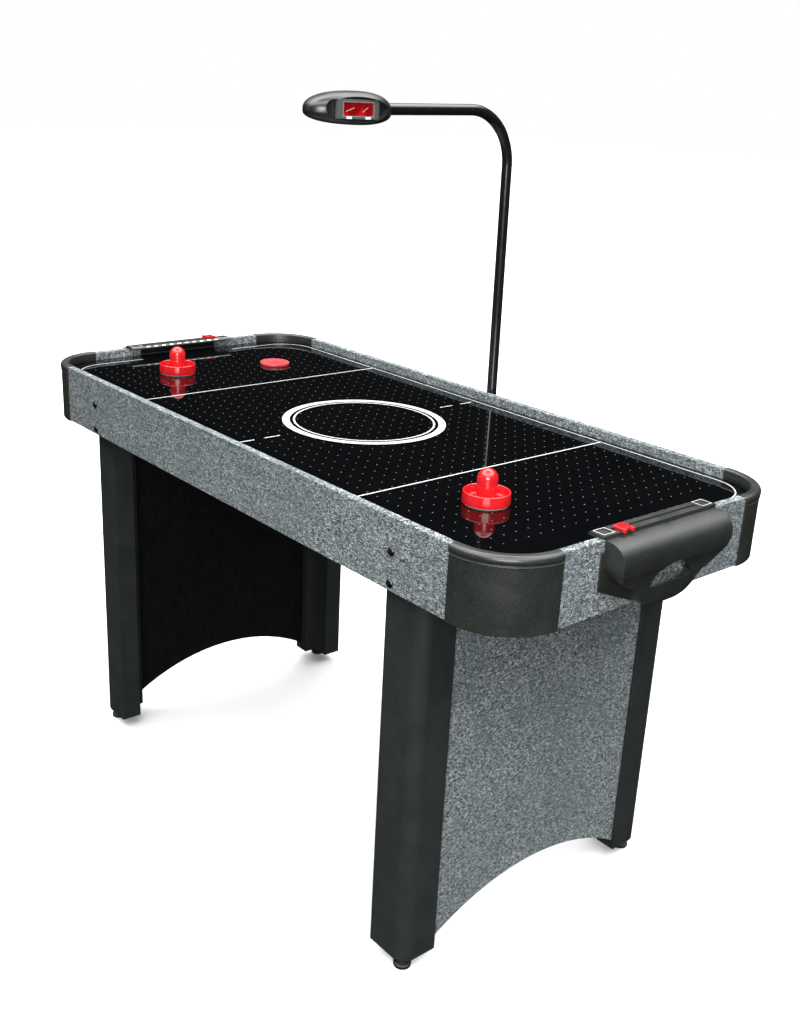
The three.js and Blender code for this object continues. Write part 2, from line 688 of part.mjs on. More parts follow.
function buildBlowerMotor() {
  const { radius, height, shaftRadius, socketDepth } = MOTOR;
  const top = BLOWER.bottom + height;
  const can = postZ(radius, BLOWER.bottom, top, 0, 0, 24);
  const socket = postZ(shaftRadius + GAP, top - socketDepth, top + EXTRA, 0, 0, 12);
  addPiece('blower_motor', cut(can, socket), MOTOR_STEEL);
}

// An axial fan: a hub on a spindle that turns in the motor, with pitched blades.
function buildImpeller() {
  const { hubRadius, hubHeight, lift, blades, halfChord, pitch } = IMPELLER;
  const motorTop = BLOWER.bottom + MOTOR.height;
  const low = motorTop + lift;
  const hub = postZ(hubRadius, low, low + hubHeight, 0, 0, 20);
  const spindle = postZ(MOTOR.shaftRadius, motorTop - MOTOR.spindleDepth, low + 1, 0, 0, 12);
  const tip = BLOWER.radius - BLOWER.wall - BLOWER.tipGap;
  const fan = [];
  for (let i = 0; i < blades; i += 1) {
    const blade = box([hubRadius - 2, -1.5, -halfChord], [tip, 1.5, halfChord])
      .rotateX(pitch)
      .translate(0, 0, low + hubHeight / 2)
      .rotateZ((i * 2 * Math.PI) / blades);
    fan.push(blade);
  }
  addPiece('blower_impeller', join(hub, spindle, ...fan), BLACK_PLASTIC);
}

// The on-off rocker, pivoted in the blower housing's switch box.
function buildPowerSwitch() {
  const middle = BLOWER.bottom + SWITCH_BOX.rockerMiddle;
  const face = BLOWER.radius + SWITCH_BOX.standOff;
  const half = SWITCH_BOX.rockerHalf - 0.5;
  const shape = outline([
    [face - 8, middle - 7],
    [face + 1, middle - 7.5],
    [face + 1.5, middle],
    [face + 4, middle + 7.5],
    [face - 8, middle + 7],
  ]);
  addPiece('power_rocker', prismX(shape, -half, half), SWITCH_RED);
}

// ---- Mallets and puck ------------------------------------------------------------------------------

function mallet({ x, y }) {
  const { radius, base, height, knobRadius, wall, web } = MALLET;
  const bottom = FIELD.top + GAP + FELT_RING.thickness + GAP;
  const top = FIELD.top + height;
  const dome = arcPoints(0, top - knobRadius, knobRadius, 0.25, Math.PI / 2, 6);
  const profile = [
    [0, bottom],
    [radius - 1, bottom],
    [radius, bottom + 1],
    [radius - 0.6, bottom + base - 1],
    [radius - wall / 2, bottom + base],
    [radius - wall, bottom + base - 1],
    [radius - wall - 0.6, bottom + web],
    [knobRadius - 1.5, bottom + web],
    ...dome,
  ];
  return turned(profile, 24, x, y);
}

function felt({ x, y }) {
  const { inner, inset, thickness } = FELT_RING;
  const low = FIELD.top + GAP;
  const high = low + thickness;
  const outer = MALLET.radius - inset;
  return turned([[inner, low], [outer, low], [outer, high], [inner, high], [inner, low]], 24, x, y);
}

function buildPlayingPieces() {
  addPiece('mallet_near', mallet(NEAR_MALLET), RED_PLASTIC);
  addPiece('mallet_felt_near', felt(NEAR_MALLET), FELT);
  addPiece('mallet_far', mallet(FAR_MALLET), RED_PLASTIC);
  addPiece('mallet_felt_far', felt(FAR_MALLET), FELT);
  const low = FIELD.top + GAP;
  const high = low + PUCK.thickness;
  const { radius, x, y } = PUCK;
  const profile = [
    [0, low],
    [radius - 1, low],
    [radius, low + 1],
    [radius, high - 1],
    [radius - 1, high],
    [0, high],
  ];
  addPiece('puck', turned(profile, 24, x, y), RED_PLASTIC);
}

buildSideRails();
buildEndRails();
buildCornerCaps();
buildPlayfield();
buildPlenum();
buildLegs();
buildEndPanels();
buildGoals();
buildPole();
buildPoleBracket();
buildHead();
buildDisplays();
buildBlowerHousing();
buildBlowerGrille();
buildBlowerMotor();
buildImpeller();
buildPowerSwitch();
buildPlayingPieces();

table.position.y = -CENTRE_SHIFT;

export default table;
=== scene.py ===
"""The looks of the air hockey table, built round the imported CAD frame.

Metres, +Z up, in the frame of the CAD. Pieces are laid out about the middle of the playfield,
with +X towards the near goal and +Y towards the score pole, and every size below is a length
on the table unless its comment says otherwise.
"""

import math

import bmesh
import bpy
from mathutils import Matrix, Vector


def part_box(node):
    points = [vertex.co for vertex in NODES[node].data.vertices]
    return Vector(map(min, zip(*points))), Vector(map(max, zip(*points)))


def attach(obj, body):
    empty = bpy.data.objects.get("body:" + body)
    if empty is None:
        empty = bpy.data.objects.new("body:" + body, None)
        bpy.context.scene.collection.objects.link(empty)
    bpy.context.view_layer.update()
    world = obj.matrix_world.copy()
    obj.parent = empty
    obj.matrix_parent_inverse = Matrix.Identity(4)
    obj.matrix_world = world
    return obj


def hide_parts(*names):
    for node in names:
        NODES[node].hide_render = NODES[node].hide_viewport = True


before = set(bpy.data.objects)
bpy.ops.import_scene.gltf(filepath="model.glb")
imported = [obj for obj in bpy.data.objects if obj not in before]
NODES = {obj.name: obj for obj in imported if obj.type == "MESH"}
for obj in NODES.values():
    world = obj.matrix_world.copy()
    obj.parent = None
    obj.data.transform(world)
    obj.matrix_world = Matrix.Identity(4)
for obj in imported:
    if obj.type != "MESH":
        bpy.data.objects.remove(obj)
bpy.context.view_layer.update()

# ---- Places and sizes that come from the CAD ----

FIELD_LOW, FIELD_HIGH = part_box("playfield")
MIDDLE_Y = (FIELD_LOW.y + FIELD_HIGH.y) / 2
FIELD_TOP = FIELD_HIGH.z
RAIL_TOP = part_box("side_rail_right")[1].z
RAIL_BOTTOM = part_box("side_rail_right")[0].z
SIDE_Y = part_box("side_rail_right")[1].y - MIDDLE_Y
END_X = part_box("end_rail_near")[1].x
BAR_LOW, BAR_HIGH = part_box("score_bar_near")
POLE_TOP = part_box("score_pole")[1].z
POLE_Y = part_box("score_pole")[1].y - MIDDLE_Y
ENDS = {"near": 1, "far": -1}
SIDES = {"left": -1, "right": 1}
CORNERS = [(f"{end}_{side}", x, y) for end, x in ENDS.items() for side, y in SIDES.items()]
MM = 0.001
SAME_PLACE = 1e-6

# ---- Meshes ----


def tidy_mesh(mesh, smooth_angle):
    """Joins doubled points, turns every face outwards and smooths all but the sharp edges."""
    work = bmesh.new()
    work.from_mesh(mesh)
    bmesh.ops.remove_doubles(work, verts=work.verts, dist=SAME_PLACE)
    bmesh.ops.recalc_face_normals(work, faces=work.faces)
    work.to_mesh(mesh)
    work.free()
    mesh.shade_smooth()
    mesh.set_sharp_from_angle(angle=math.radians(smooth_angle))


def make_object(name, vertices, faces, smooth_angle=32):
    mesh = bpy.data.meshes.new(name)
    mesh.from_pydata(vertices, [], faces)
    tidy_mesh(mesh, smooth_angle)
    made = bpy.data.objects.new(name, mesh)
    bpy.context.scene.collection.objects.link(made)
    return made


def on_table(x, y, z):
    """A point given about the middle of the playfield, in the frame of the CAD."""
    return Vector((x, y + MIDDLE_Y, z))


def loft(rings, closed=False):
    """Points and faces of a skin over rings of equal length, capped unless it closes on itself."""
    count = len(rings[0])
    vertices = [point for ring in rings for point in ring]
    faces = []
    spans = len(rings) if closed else len(rings) - 1
    for i in range(spans):
        for j in range(count):
            this, after = i * count, (i + 1) % len(rings) * count
            k = (j + 1) % count
            faces.append((this + j, this + k, after + k, after + j))
    if not closed:
        faces.append(tuple(range(count)))
        faces.append(tuple(range((len(rings) - 1) * count, len(rings) * count)))
    return vertices, faces


def revolve(profile, sides, ripple=0.0, ripples=0):
    """A solid of revolution from (radius, height) pairs; its side may carry shallow ribs."""
    rings = []
    for turn in range(sides):
        angle = 2 * math.pi * turn / sides
        swell = 1 + ripple * math.cos(ripples * angle)
        rings.append([
            Vector((r * swell * math.cos(angle), r * swell * math.sin(angle), z))
            for r, z in profile
        ])
    vertices, faces = loft(rings, closed=True)
    count = len(profile)
    closing = count - 1
    faces = [face for index, face in enumerate(faces) if index % count != closing]
    return vertices, faces


def arc(centre, radius, start, end, steps):
    """Points on a circle, by angles in degrees."""
    points = []
    for step in range(steps + 1):
        angle = math.radians(start + (end - start) * step / steps)
        points.append((centre[0] + radius * math.cos(angle), centre[1] + radius * math.sin(angle)))
    return points


def smooth_line(points, per_span=6):
    """A line through the points that rounds its corners, as a Catmull-Rom curve."""
    ends = [points[0], *points, points[-1]]
    line = []
    for i in range(1, len(ends) - 2):
        before, start, end, after = (Vector(p) for p in ends[i - 1:i + 3])
        for step in range(per_span):
            t = step / per_span
            line.append(0.5 * (
                2 * start + (end - before) * t
                + (2 * before - 5 * start + 4 * end - after) * t ** 2
                + (3 * start - before - 3 * end + after) * t ** 3
            ))
    line.append(Vector(points[-1]))
    return [tuple(p) for p in line]


def prism(name, shape, axis, low, high):
    """A flat outline drawn out along X, Y or Z, as a closed object."""
    put = {
        "X": lambda a, b, along: on_table(along, a, b),
        "Y": lambda a, b, along: on_table(a, along, b),
        "Z": lambda a, b, along: on_table(a, b, along),
    }[axis]
    vertices, faces = loft([[put(a, b, along) for a, b in shape] for along in (low, high)])
    return make_object(name, vertices, faces)


def block(name, low, high):
    corners = [(low[0], low[1]), (high[0], low[1]), (high[0], high[1]), (low[0], high[1])]
    return prism(name, corners, "Z", low[2], high[2])


def combine(body, operation, *tools, smooth_angle=32):
    """Joins, cuts or intersects a piece with others, which are used up."""
    for tool in tools:
        change = body.modifiers.new("combine", "BOOLEAN")
        change.operation = operation
        change.solver = "EXACT"
        change.material_mode = "TRANSFER" if tool.data.materials else "INDEX"
        change.object = tool
        bpy.context.view_layer.update()
        shown = body.evaluated_get(bpy.context.evaluated_depsgraph_get())
        mesh = bpy.data.meshes.new_from_object(shown)
        body.modifiers.clear()
        body.data = mesh
        bpy.data.objects.remove(tool)
    tidy_mesh(body.data, smooth_angle)
    return body


def transformed_copy(source, name, matrix):
    """A copy of a piece put elsewhere, with its faces outwards even where it is mirrored."""
    mesh = source.data.copy()
    mesh.transform(matrix)
    if matrix.determinant() < 0:
        mesh.flip_normals()
    made = bpy.data.objects.new(name, mesh)
    bpy.context.scene.collection.objects.link(made)
    return made


def mirror(x, y):
    """Mirrors about the middle of the table in X, Y or both."""
    shift = Matrix.Translation((0, MIDDLE_Y, 0))
    return shift @ Matrix.Diagonal((x, y, 1, 1)) @ shift.inverted()


def soften(piece, width, segments=2, angle=35):
    """Rounds a piece's sharp edges by a width of millimetres, as moulded or cut edges are."""
    weld = piece.modifiers.new("weld", "WELD")
    weld.merge_threshold = SAME_PLACE
    bevel = piece.modifiers.new("edges", "BEVEL")
    bevel.width = width * MM
    bevel.segments = segments
    bevel.limit_method = "ANGLE"
    bevel.angle_limit = math.radians(angle)
    flat_faces = piece.modifiers.new("flat_faces", "WEIGHTED_NORMAL")
    flat_faces.keep_sharp = True


# ---- Materials ----


class Nodes:
    """A node tree, with short calls to build it."""

    def __init__(self, tree):
        self.tree = tree

    def node(self, kind, **settings):
        made = self.tree.nodes.new(kind)
        for name, value in settings.items():
            setattr(made, name, value)
        return made

    def feed(self, node, socket, value):
        if isinstance(value, bpy.types.NodeSocket):
            self.tree.links.new(value, node.inputs[socket])
        else:
            node.inputs[socket].default_value = value

    def math(self, operation, a, b=0.0):
        node = self.node("ShaderNodeMath", operation=operation)
        self.feed(node, 0, a)
        self.feed(node, 1, b)
        return node.outputs[0]

    def times(self, a, b):
        return self.math("MULTIPLY", a, b)

    def span(self, value, low, high, to_low=0.0, to_high=1.0):
        """A smooth step from one value to another, as the input goes from low to high."""
        node = self.node("ShaderNodeMapRange", interpolation_type="SMOOTHSTEP")
        for socket, number in enumerate((value, low, high, to_low, to_high)):
            self.feed(node, socket, number)
        return node.outputs[0]


class Graph(Nodes):
    """A material's nodes."""

    def __init__(self, name):
        self.material = bpy.data.materials.new(name)
        self.material.use_nodes = True
        super().__init__(self.material.node_tree)
        self.shader = self.tree.nodes["Principled BSDF"]
        self.place = self.node("ShaderNodeTexCoord").outputs["Object"]

    def set(self, socket, value):
        self.feed(self.shader, socket, value)

    def scaled(self, x, y, z):
        node = self.node("ShaderNodeVectorMath", operation="MULTIPLY")
        self.feed(node, 0, self.place)
        self.feed(node, 1, (x, y, z))
        return node.outputs[0]

    def noise(self, scale, detail=3.0, roughness=0.55, distortion=0.0, place=None):
        node = self.node("ShaderNodeTexNoise")
        self.feed(node, "Vector", place or self.place)
        self.feed(node, "Scale", scale)
        self.feed(node, "Detail", detail)
        self.feed(node, "Roughness", roughness)
        self.feed(node, "Distortion", distortion)
        return node.outputs[0]

    def cells(self, scale, place=None):
        node = self.node("ShaderNodeTexVoronoi")
        self.feed(node, "Vector", place or self.place)
        self.feed(node, "Scale", scale)
        return node.outputs["Distance"]

    def ramp(self, value, stops):
        node = self.node("ShaderNodeValToRGB")
        elements = node.color_ramp.elements
        while len(elements) < len(stops):
            elements.new(0.5)
        for element, (position, colour) in zip(elements, stops):
            element.position = position
            element.color = (*colour, 1)
        self.feed(node, 0, value)
        return node.outputs[0]

    def mix(self, factor, a, b):
        node = self.node("ShaderNodeMix", data_type="RGBA")
        self.feed(node, 0, factor)
        for socket, colour in ((6, a), (7, b)):
            self.feed(node, socket, (*colour, 1) if isinstance(colour, tuple) else colour)
        return node.outputs[2]

    def bump(self, height, distance, strength=1.0):
        """A bump of so many millimetres."""
        node = self.node("ShaderNodeBump")
        self.feed(node, "Height", height)
        self.feed(node, "Distance", distance * MM)
        self.feed(node, "Strength", strength)
        self.set("Normal", node.outputs[0])

    def edges_rubbing_and_highlight(self, radius, patches=60.0):
        """A mask of the edges, a radius of millimetres wide, in patches: partly scuffed by handling and
        partly a painted highlight.
        """
        rounded = self.node("ShaderNodeBevel", samples=4)
        self.feed(rounded, "Radius", radius * MM)
        flat = self.node("ShaderNodeNewGeometry").outputs["Normal"]
        dot = self.node("ShaderNodeVectorMath", operation="DOT_PRODUCT")
        self.feed(dot, 0, rounded.outputs[0])
        self.feed(dot, 1, flat)
        edge = self.span(self.math("SUBTRACT", 1.0, dot.outputs["Value"]), 0.01, 0.25)
        return self.times(edge, self.span(self.noise(patches), 0.35, 0.7, 0.25, 1.0))


def granite():
    """Printed granite laminate: short pale and dark flecks on a blue-grey ground."""
    graph = Graph("granite")
    stretched = graph.scaled(0.5, 0.5, 1.0)
    flecks = graph.noise(600, 2.0, 0.80, 1.6, stretched)
    coarse = graph.noise(300, 2.0, 0.6, 1.2, stretched)
    clusters = graph.times(graph.math("SUBTRACT", coarse, 0.5), 0.45)
    colour = graph.ramp(graph.math("ADD", flecks, clusters), [
        (0.37, (0.007, 0.010, 0.014)),
        (0.45, (0.030, 0.040, 0.046)),
        (0.51, (0.110, 0.132, 0.137)),
        (0.56, (0.280, 0.315, 0.320)),
        (0.63, (0.680, 0.730, 0.730)),
    ])
    specks = graph.span(graph.cells(190, stretched), 0.17, 0.06)
    specks = graph.times(specks, graph.span(graph.noise(110, 1.0), 0.5, 0.62))
    colour = graph.mix(specks, colour, (0.010, 0.013, 0.017))
    tint = graph.span(graph.noise(9, 2.0), 0.35, 0.65, 0.0, 0.30)
    colour = graph.mix(tint, colour, (0.105, 0.135, 0.155))
    # Paler edges: partly scuffing, partly a painted highlight.
    pale_rubbing_and_highlight = graph.times(graph.edges_rubbing_and_highlight(1.4), 0.75)
    graph.set("Base Color", graph.mix(pale_rubbing_and_highlight, colour, (0.58, 0.61, 0.60)))
    graph.set("Roughness", graph.span(graph.noise(45), 0.3, 0.7, 0.36, 0.52))
    graph.set("Specular IOR Level", 0.3)
    graph.bump(flecks, 0.05, 0.5)
    return graph.material


def black_board():
    """The unfinished back and sawn edges of the end panels: dull black with a faint grain."""
    graph = Graph("black_board")
    grain = graph.noise(160, 4.0, 0.6, 1.0, graph.scaled(1.0, 1.0, 0.3))
    graph.set("Base Color", graph.ramp(grain, [(0.3, (0.003, 0.003, 0.003)), (0.7, (0.009, 0.009, 0.008))]))
    graph.set("Roughness", graph.span(grain, 0.3, 0.7, 0.45, 0.62))
    graph.set("Specular IOR Level", 0.15)
    graph.bump(grain, 0.10, 0.6)
    return graph.material


def plastic(name, shade, mottled, roughness, grain, pale_rubbing_and_highlight=(0.12, 0.12, 0.105), rubbing_and_highlight_share=0.5, coat=0.0, gloss=0.5,
            specks=0.10):
    """Moulded plastic: cloudy, with a fine sparked texture of so many mm and paler edges, partly scuffed and
    partly a painted highlight.
    """
    graph = Graph(name)
    colour = graph.mix(graph.span(graph.noise(22, 4.0), 0.35, 0.65), shade, mottled)
    dust = graph.span(graph.noise(520, 2.0, 0.7), 0.52, 0.72, 0.0, specks)
    colour = graph.mix(dust, colour, pale_rubbing_and_highlight)
    # Paler edges: partly scuffing, partly a painted highlight.
    rubbing_and_highlight = graph.times(graph.edges_rubbing_and_highlight(1.0), rubbing_and_highlight_share)
    graph.set("Base Color", graph.mix(rubbing_and_highlight, colour, pale_rubbing_and_highlight))
    smears = graph.noise(14, 5.0, 0.6, 0.8)
    graph.set("Roughness", graph.span(smears, 0.3, 0.7, roughness - 0.07, roughness + 0.07))
    graph.set("Specular IOR Level", gloss)
    graph.set("Coat Weight", coat)
    graph.set("Coat Roughness", 0.08)
    graph.bump(graph.noise(1000, 2.0), grain, 0.8)
    return graph.material


def painted_metal():
    """Gloss black powder coat with a faint orange peel and dust in it."""
    graph = Graph("pole_paint")
    colour = graph.mix(graph.noise(30, 4.0), (0.006, 0.006, 0.007), (0.014, 0.014, 0.014))
    # Paler edges: partly scuffing, partly a painted highlight.
    rubbing_and_highlight = graph.times(graph.edges_rubbing_and_highlight(0.8), 0.5)
    graph.set("Base Color", graph.mix(rubbing_and_highlight, colour, (0.20, 0.20, 0.19)))
    graph.set("Roughness", graph.span(graph.noise(60, 4.0), 0.3, 0.7, 0.20, 0.26))
    graph.set("Coat Weight", 0.5)
    graph.set("Coat Roughness", 0.06)
    graph.bump(graph.noise(260, 2.0), 0.012, 0.4)
    return graph.material


def bare_metal(name, shade, roughness):
    """Plated steel with fine turning marks."""
    graph = Graph(name)
    marks = graph.noise(900, 2.0, place=graph.scaled(1.0, 1.0, 0.08))
    graph.set("Base Color", graph.mix(marks, shade, tuple(0.7 * c for c in shade)))
    graph.set("Metallic", 1.0)
    graph.set("Roughness", graph.span(marks, 0.3, 0.7, roughness - 0.08, roughness + 0.1))
    graph.bump(marks, 0.02, 0.5)
    return graph.material


def fibre_board():
    """Brown hardboard: smooth pressed fibres with darker strands."""
    graph = Graph("hardboard")
    strands = graph.noise(260, 4.0, 0.6, 2.0, graph.scaled(1.0, 0.5, 1.0))
    graph.set("Base Color", graph.ramp(strands, [
        (0.3, (0.075, 0.040, 0.020)), (0.55, (0.150, 0.085, 0.045)), (0.75, (0.240, 0.150, 0.085)),
    ]))
    graph.set("Roughness", graph.span(strands, 0.3, 0.7, 0.6, 0.85))
    graph.bump(strands, 0.12, 0.6)
    return graph.material


def felt_cloth():
    """Needled felt: matted fibres in a pale grey."""
    graph = Graph("felt")
    fibres = graph.noise(1500, 4.0, 0.7, 3.0)
    graph.set("Base Color", graph.ramp(fibres, [(0.3, (0.200, 0.195, 0.185)), (0.7, (0.520, 0.510, 0.490))]))
    graph.set("Roughness", graph.span(fibres, 0.3, 0.7, 0.88, 1.0))
    graph.set("Sheen Weight", 0.4)
    graph.bump(fibres, 0.25, 1.0)
    return graph.material


def circuit():
    """Green solder mask with copper tracks under it."""
    graph = Graph("circuit_board")
    tracks = graph.span(graph.cells(330), 0.30, 0.36)
    graph.set("Base Color", graph.mix(tracks, (0.010, 0.060, 0.022), (0.020, 0.110, 0.045)))
    graph.set("Roughness", graph.span(tracks, 0.0, 1.0, 0.32, 0.45))
    graph.bump(tracks, 0.04, 0.6)
    return graph.material


def display_glass():
    """A deep red acrylic window with a faint painted glow; nothing lights it from behind."""
    graph = Graph("red_window")
    depth = graph.noise(32, 1.0)
    colour = graph.ramp(depth, [(0.38, (0.180, 0.003, 0.004)), (0.6, (0.520, 0.006, 0.012))])
    graph.set("Base Color", colour)
    # The glow is painted light: no lamp sits behind the window.
    graph.set("Emission Color", colour)
    graph.set("Emission Strength", 0.35)
    graph.set("Roughness", graph.span(graph.noise(300), 0.3, 0.7, 0.04, 0.10))
    graph.set("Coat Weight", 0.6)
    return graph.material


def printed_ink(name, shade, glow=0.0):
    """Screen-printed ink, slightly uneven where it has gone on thin; any glow it is given is painted light.
    """
    graph = Graph(name)
    thin = graph.span(graph.noise(700, 3.0), 0.35, 0.75)
    colour = graph.mix(thin, shade, tuple(0.78 * c for c in shade))
    graph.set("Base Color", colour)
    graph.set("Roughness", graph.span(thin, 0.0, 1.0, 0.35, 0.5))
    graph.set("Emission Color", colour)
    graph.set("Emission Strength", glow)
    graph.bump(thin, 0.02, 0.5)
    return graph.material


# ---- The print on the playfield ----

RING_OUTER = (0.1398, 0.1536)
RING_INNER = (0.1298, 0.1334)
DASHES = ((0.191, 0.223), (0.245, 0.275))
GOAL_LINE_X = 0.333
BORDER = Vector((0.646, 0.289))
BORDER_RADIUS = 0.072
LINE = 3.2 * MM
THIN_LINE = 2.2 * MM
GOAL_MOUTH = 0.115
NEAR_SHIFT = 14 * MM


def between(graph, value, low, high):
    above = graph.math("GREATER_THAN", value, low)
    return graph.times(above, graph.math("LESS_THAN", value, high))


def length_of(graph, a, b):
    squares = graph.math("ADD", graph.math("POWER", a, 2.0), graph.math("POWER", b, 2.0))
    return graph.math("SQRT", squares)


def border_print(graph, x, y, signed_x):
    """A thin line round the field, a little nearer to the near end and left out in front of the goals."""
    near_end = graph.math("GREATER_THAN", signed_x, 0.0)
    x = graph.math("SUBTRACT", x, graph.times(near_end, NEAR_SHIFT))
    past_x = graph.math("SUBTRACT", x, BORDER.x - BORDER_RADIUS)
    past_y = graph.math("SUBTRACT", y, BORDER.y - BORDER_RADIUS)
    outside = length_of(graph, graph.math("MAXIMUM", past_x, 0.0), graph.math("MAXIMUM", past_y, 0.0))
    inside = graph.math("MINIMUM", graph.math("MAXIMUM", past_x, past_y), 0.0)
    distance = graph.math("SUBTRACT", graph.math("ADD", outside, inside), BORDER_RADIUS)
    line = between(graph, distance, -THIN_LINE, 0.0)
    at_an_end = graph.math("GREATER_THAN", x, BORDER.x - BORDER_RADIUS)
    mouth = graph.times(at_an_end, graph.math("LESS_THAN", y, GOAL_MOUTH))
    return graph.times(line, graph.math("SUBTRACT", 1.0, mouth))


def field_print(graph):
    """Where the white ink is: two rings, two goal lines, four dashes and the border."""
    split = graph.node("ShaderNodeSeparateXYZ")
    graph.feed(split, 0, graph.place)
    x = graph.math("ABSOLUTE", split.outputs[0])
    y = graph.math("ABSOLUTE", graph.math("SUBTRACT", split.outputs[1], MIDDLE_Y))
    radius = length_of(graph, x, y)
    goal_line = between(graph, x, GOAL_LINE_X - LINE / 2, GOAL_LINE_X + LINE / 2)
    marks = [
        between(graph, radius, *RING_OUTER),
        between(graph, radius, *RING_INNER),
        graph.times(goal_line, graph.math("LESS_THAN", y, BORDER.y)),
        border_print(graph, x, y, split.outputs[0]),
    ]
    on_middle = graph.math("LESS_THAN", x, LINE / 2)
    for dash in DASHES:
        marks.append(graph.times(on_middle, between(graph, y, *dash)))
    total = marks[0]
    for mark in marks[1:]:
        total = graph.math("MAXIMUM", total, mark)
    return total


def field_laminate():
    """Mirror-black laminate over white print, with faint puck scuffs."""
    graph = Graph("playfield_laminate")
    black = graph.mix(graph.noise(6, 3.0), (0.0010, 0.0012, 0.0016), (0.0024, 0.0026, 0.0030))
    ink = graph.mix(graph.span(graph.noise(500, 2.0), 0.3, 0.7), (0.74, 0.76, 0.76), (0.62, 0.64, 0.65))
    graph.set("Base Color", graph.mix(field_print(graph), black, ink))
    scuffs = graph.noise(240, 5.0, 0.7, 4.0, graph.scaled(0.25, 1.0, 1.0))
    graph.set("Roughness", graph.span(scuffs, 0.5, 0.8, 0.025, 0.085))
    graph.bump(graph.noise(12, 2.0), 0.02, 0.15)
    return graph.material


GRANITE = granite()
BLACK_BOARD = black_board()
BLACK_PLASTIC = plastic("black_plastic", (0.0155, 0.0185, 0.0160), (0.0195, 0.0230, 0.0200), 0.36, 0.20,
                        gloss=0.75, specks=0.28)
LEG_VINYL = plastic("leg_vinyl", (0.0210, 0.0255, 0.0245), (0.0260, 0.0310, 0.0300), 0.38, 0.12,
                    gloss=0.45)
FOOT_PLASTIC = plastic("foot_plastic", (0.010, 0.010, 0.010), (0.020, 0.020, 0.019), 0.50, 0.08)
HEAD_SHELL = plastic("gloss_shell", (0.010, 0.011, 0.010), (0.016, 0.017, 0.015), 0.36, 0.02,
                     gloss=0.8)
# The pale pink edges of the red pieces are partly a painted highlight on their rims.
RED = plastic("red_plastic", (0.560, 0.007, 0.012), (0.660, 0.014, 0.018), 0.22, 0.01,
              pale_rubbing_and_highlight=(0.80, 0.16, 0.15), rubbing_and_highlight_share=0.35, coat=0.4)
PUCK_RED = plastic("puck_red", (0.500, 0.042, 0.046), (0.580, 0.060, 0.062), 0.34, 0.02,
                   pale_rubbing_and_highlight=(0.85, 0.30, 0.28), rubbing_and_highlight_share=0.5)
BEZEL = plastic("grey_plastic", (0.085, 0.100, 0.095), (0.115, 0.130, 0.125), 0.42, 0.03,
                pale_rubbing_and_highlight=(0.55, 0.52, 0.50))
SWITCH = plastic("switch_red", (0.280, 0.010, 0.010), (0.340, 0.016, 0.014), 0.35, 0.02)
POLE_PAINT = painted_metal()
BOLT_STEEL = bare_metal("bolt_steel", (0.110, 0.110, 0.115), 0.30)
MOTOR_STEEL = bare_metal("motor_steel", (0.560, 0.570, 0.580), 0.34)
HARDBOARD = fibre_board()
FELT = felt_cloth()
CIRCUIT = circuit()
RED_WINDOW = display_glass()
WHITE_INK = printed_ink("white_ink", (0.70, 0.71, 0.68))
# White ink for the tabs, with a painted glow that makes them brighter than the lamps do.
TAB_INK_PAINTED_GLOW = printed_ink("tab_ink_painted_glow", (0.90, 0.90, 0.88), 0.55)
PINK_INK = printed_ink("pink_ink", (0.50, 0.36, 0.35))
# Pale glowing ink for two slanted strokes on each window, a painted highlight.
HIGHLIGHT_STROKE_INK = printed_ink("painted_highlight_ink", (0.85, 0.42, 0.40), 0.25)
BLACK_INK = printed_ink("black_ink", (0.015, 0.015, 0.015))
PALE_CORE = printed_ink("drilled_core", (0.18, 0.18, 0.17))
FIELD_LAMINATE = field_laminate()

# ---- CAD nodes that keep their shape ----

KEPT_NODES = [
    ("side_rail_", GRANITE, 0.8),
    ("end_rail_", GRANITE, 0.8),
    ("plenum_", HARDBOARD, 0.4),
    ("leg_post_", LEG_VINYL, 0.9),
    ("goal_sensor_", CIRCUIT, 0.2),
    ("score_bar_", BLACK_PLASTIC, 0.45),
    ("score_marker_", RED, 0.8),
    ("pole_bracket", BLACK_PLASTIC, 0.6),
    ("display_bezel_", BEZEL, 0.6),
    ("display_window_", RED_WINDOW, 0.3),
    ("score_board", CIRCUIT, 0.2),
    ("blower_housing", BLACK_PLASTIC, 0.5),
    ("blower_grille", BLACK_PLASTIC, 0.4),
    ("blower_motor", MOTOR_STEEL, 0.5),
    ("blower_impeller", BLACK_PLASTIC, 0.3),
    ("power_rocker", SWITCH, 0.6),
    ("mallet_felt_", FELT, 0.2),
]


def redress(node, edge, *materials):
    """Gives a CAD node its materials and softer edges."""
    node.data.materials.clear()
    for material in materials:
        node.data.materials.append(material)
    node.data.shade_smooth()
    soften(node, edge)


def dress_kept_nodes():
    """Dresses every node whose name starts as a row of KEPT_NODES says."""
    for start, material, edge in KEPT_NODES:
        for name, node in NODES.items():
            if name.startswith(start):
                redress(node, edge, material)


def dress_end_panels():
    """Granite laminate on the outer face, black board on the back and the edges."""
    for end, side in ENDS.items():
        panel = NODES[f"end_panel_{end}"]
        redress(panel, 0.5, BLACK_BOARD, GRANITE)
        for face in panel.data.polygons:
            face.material_index = 1 if face.normal.x * side > 0.9 else 0


def show(piece, body, slot, *materials, replaces=()):
    """Gives a new piece its materials, its body and the nodes it stands for. The slot is not used."""
    for material in materials:
        piece.data.materials.append(material)
    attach(piece, body)
    if replaces:
        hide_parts(*replaces)
    return piece


# ---- Playfield with its air holes ----

HOLE_PITCH = 25 * MM
HOLE_COUNTS = (49, 21)
HOLE_RADIUS = 0.8 * MM
HOLE_RIM = 1.2 * MM
HOLE_DEPTH = 12 * MM
COUNTERSINK = 0.55 * MM
CLEAR_ABOVE = 2 * MM


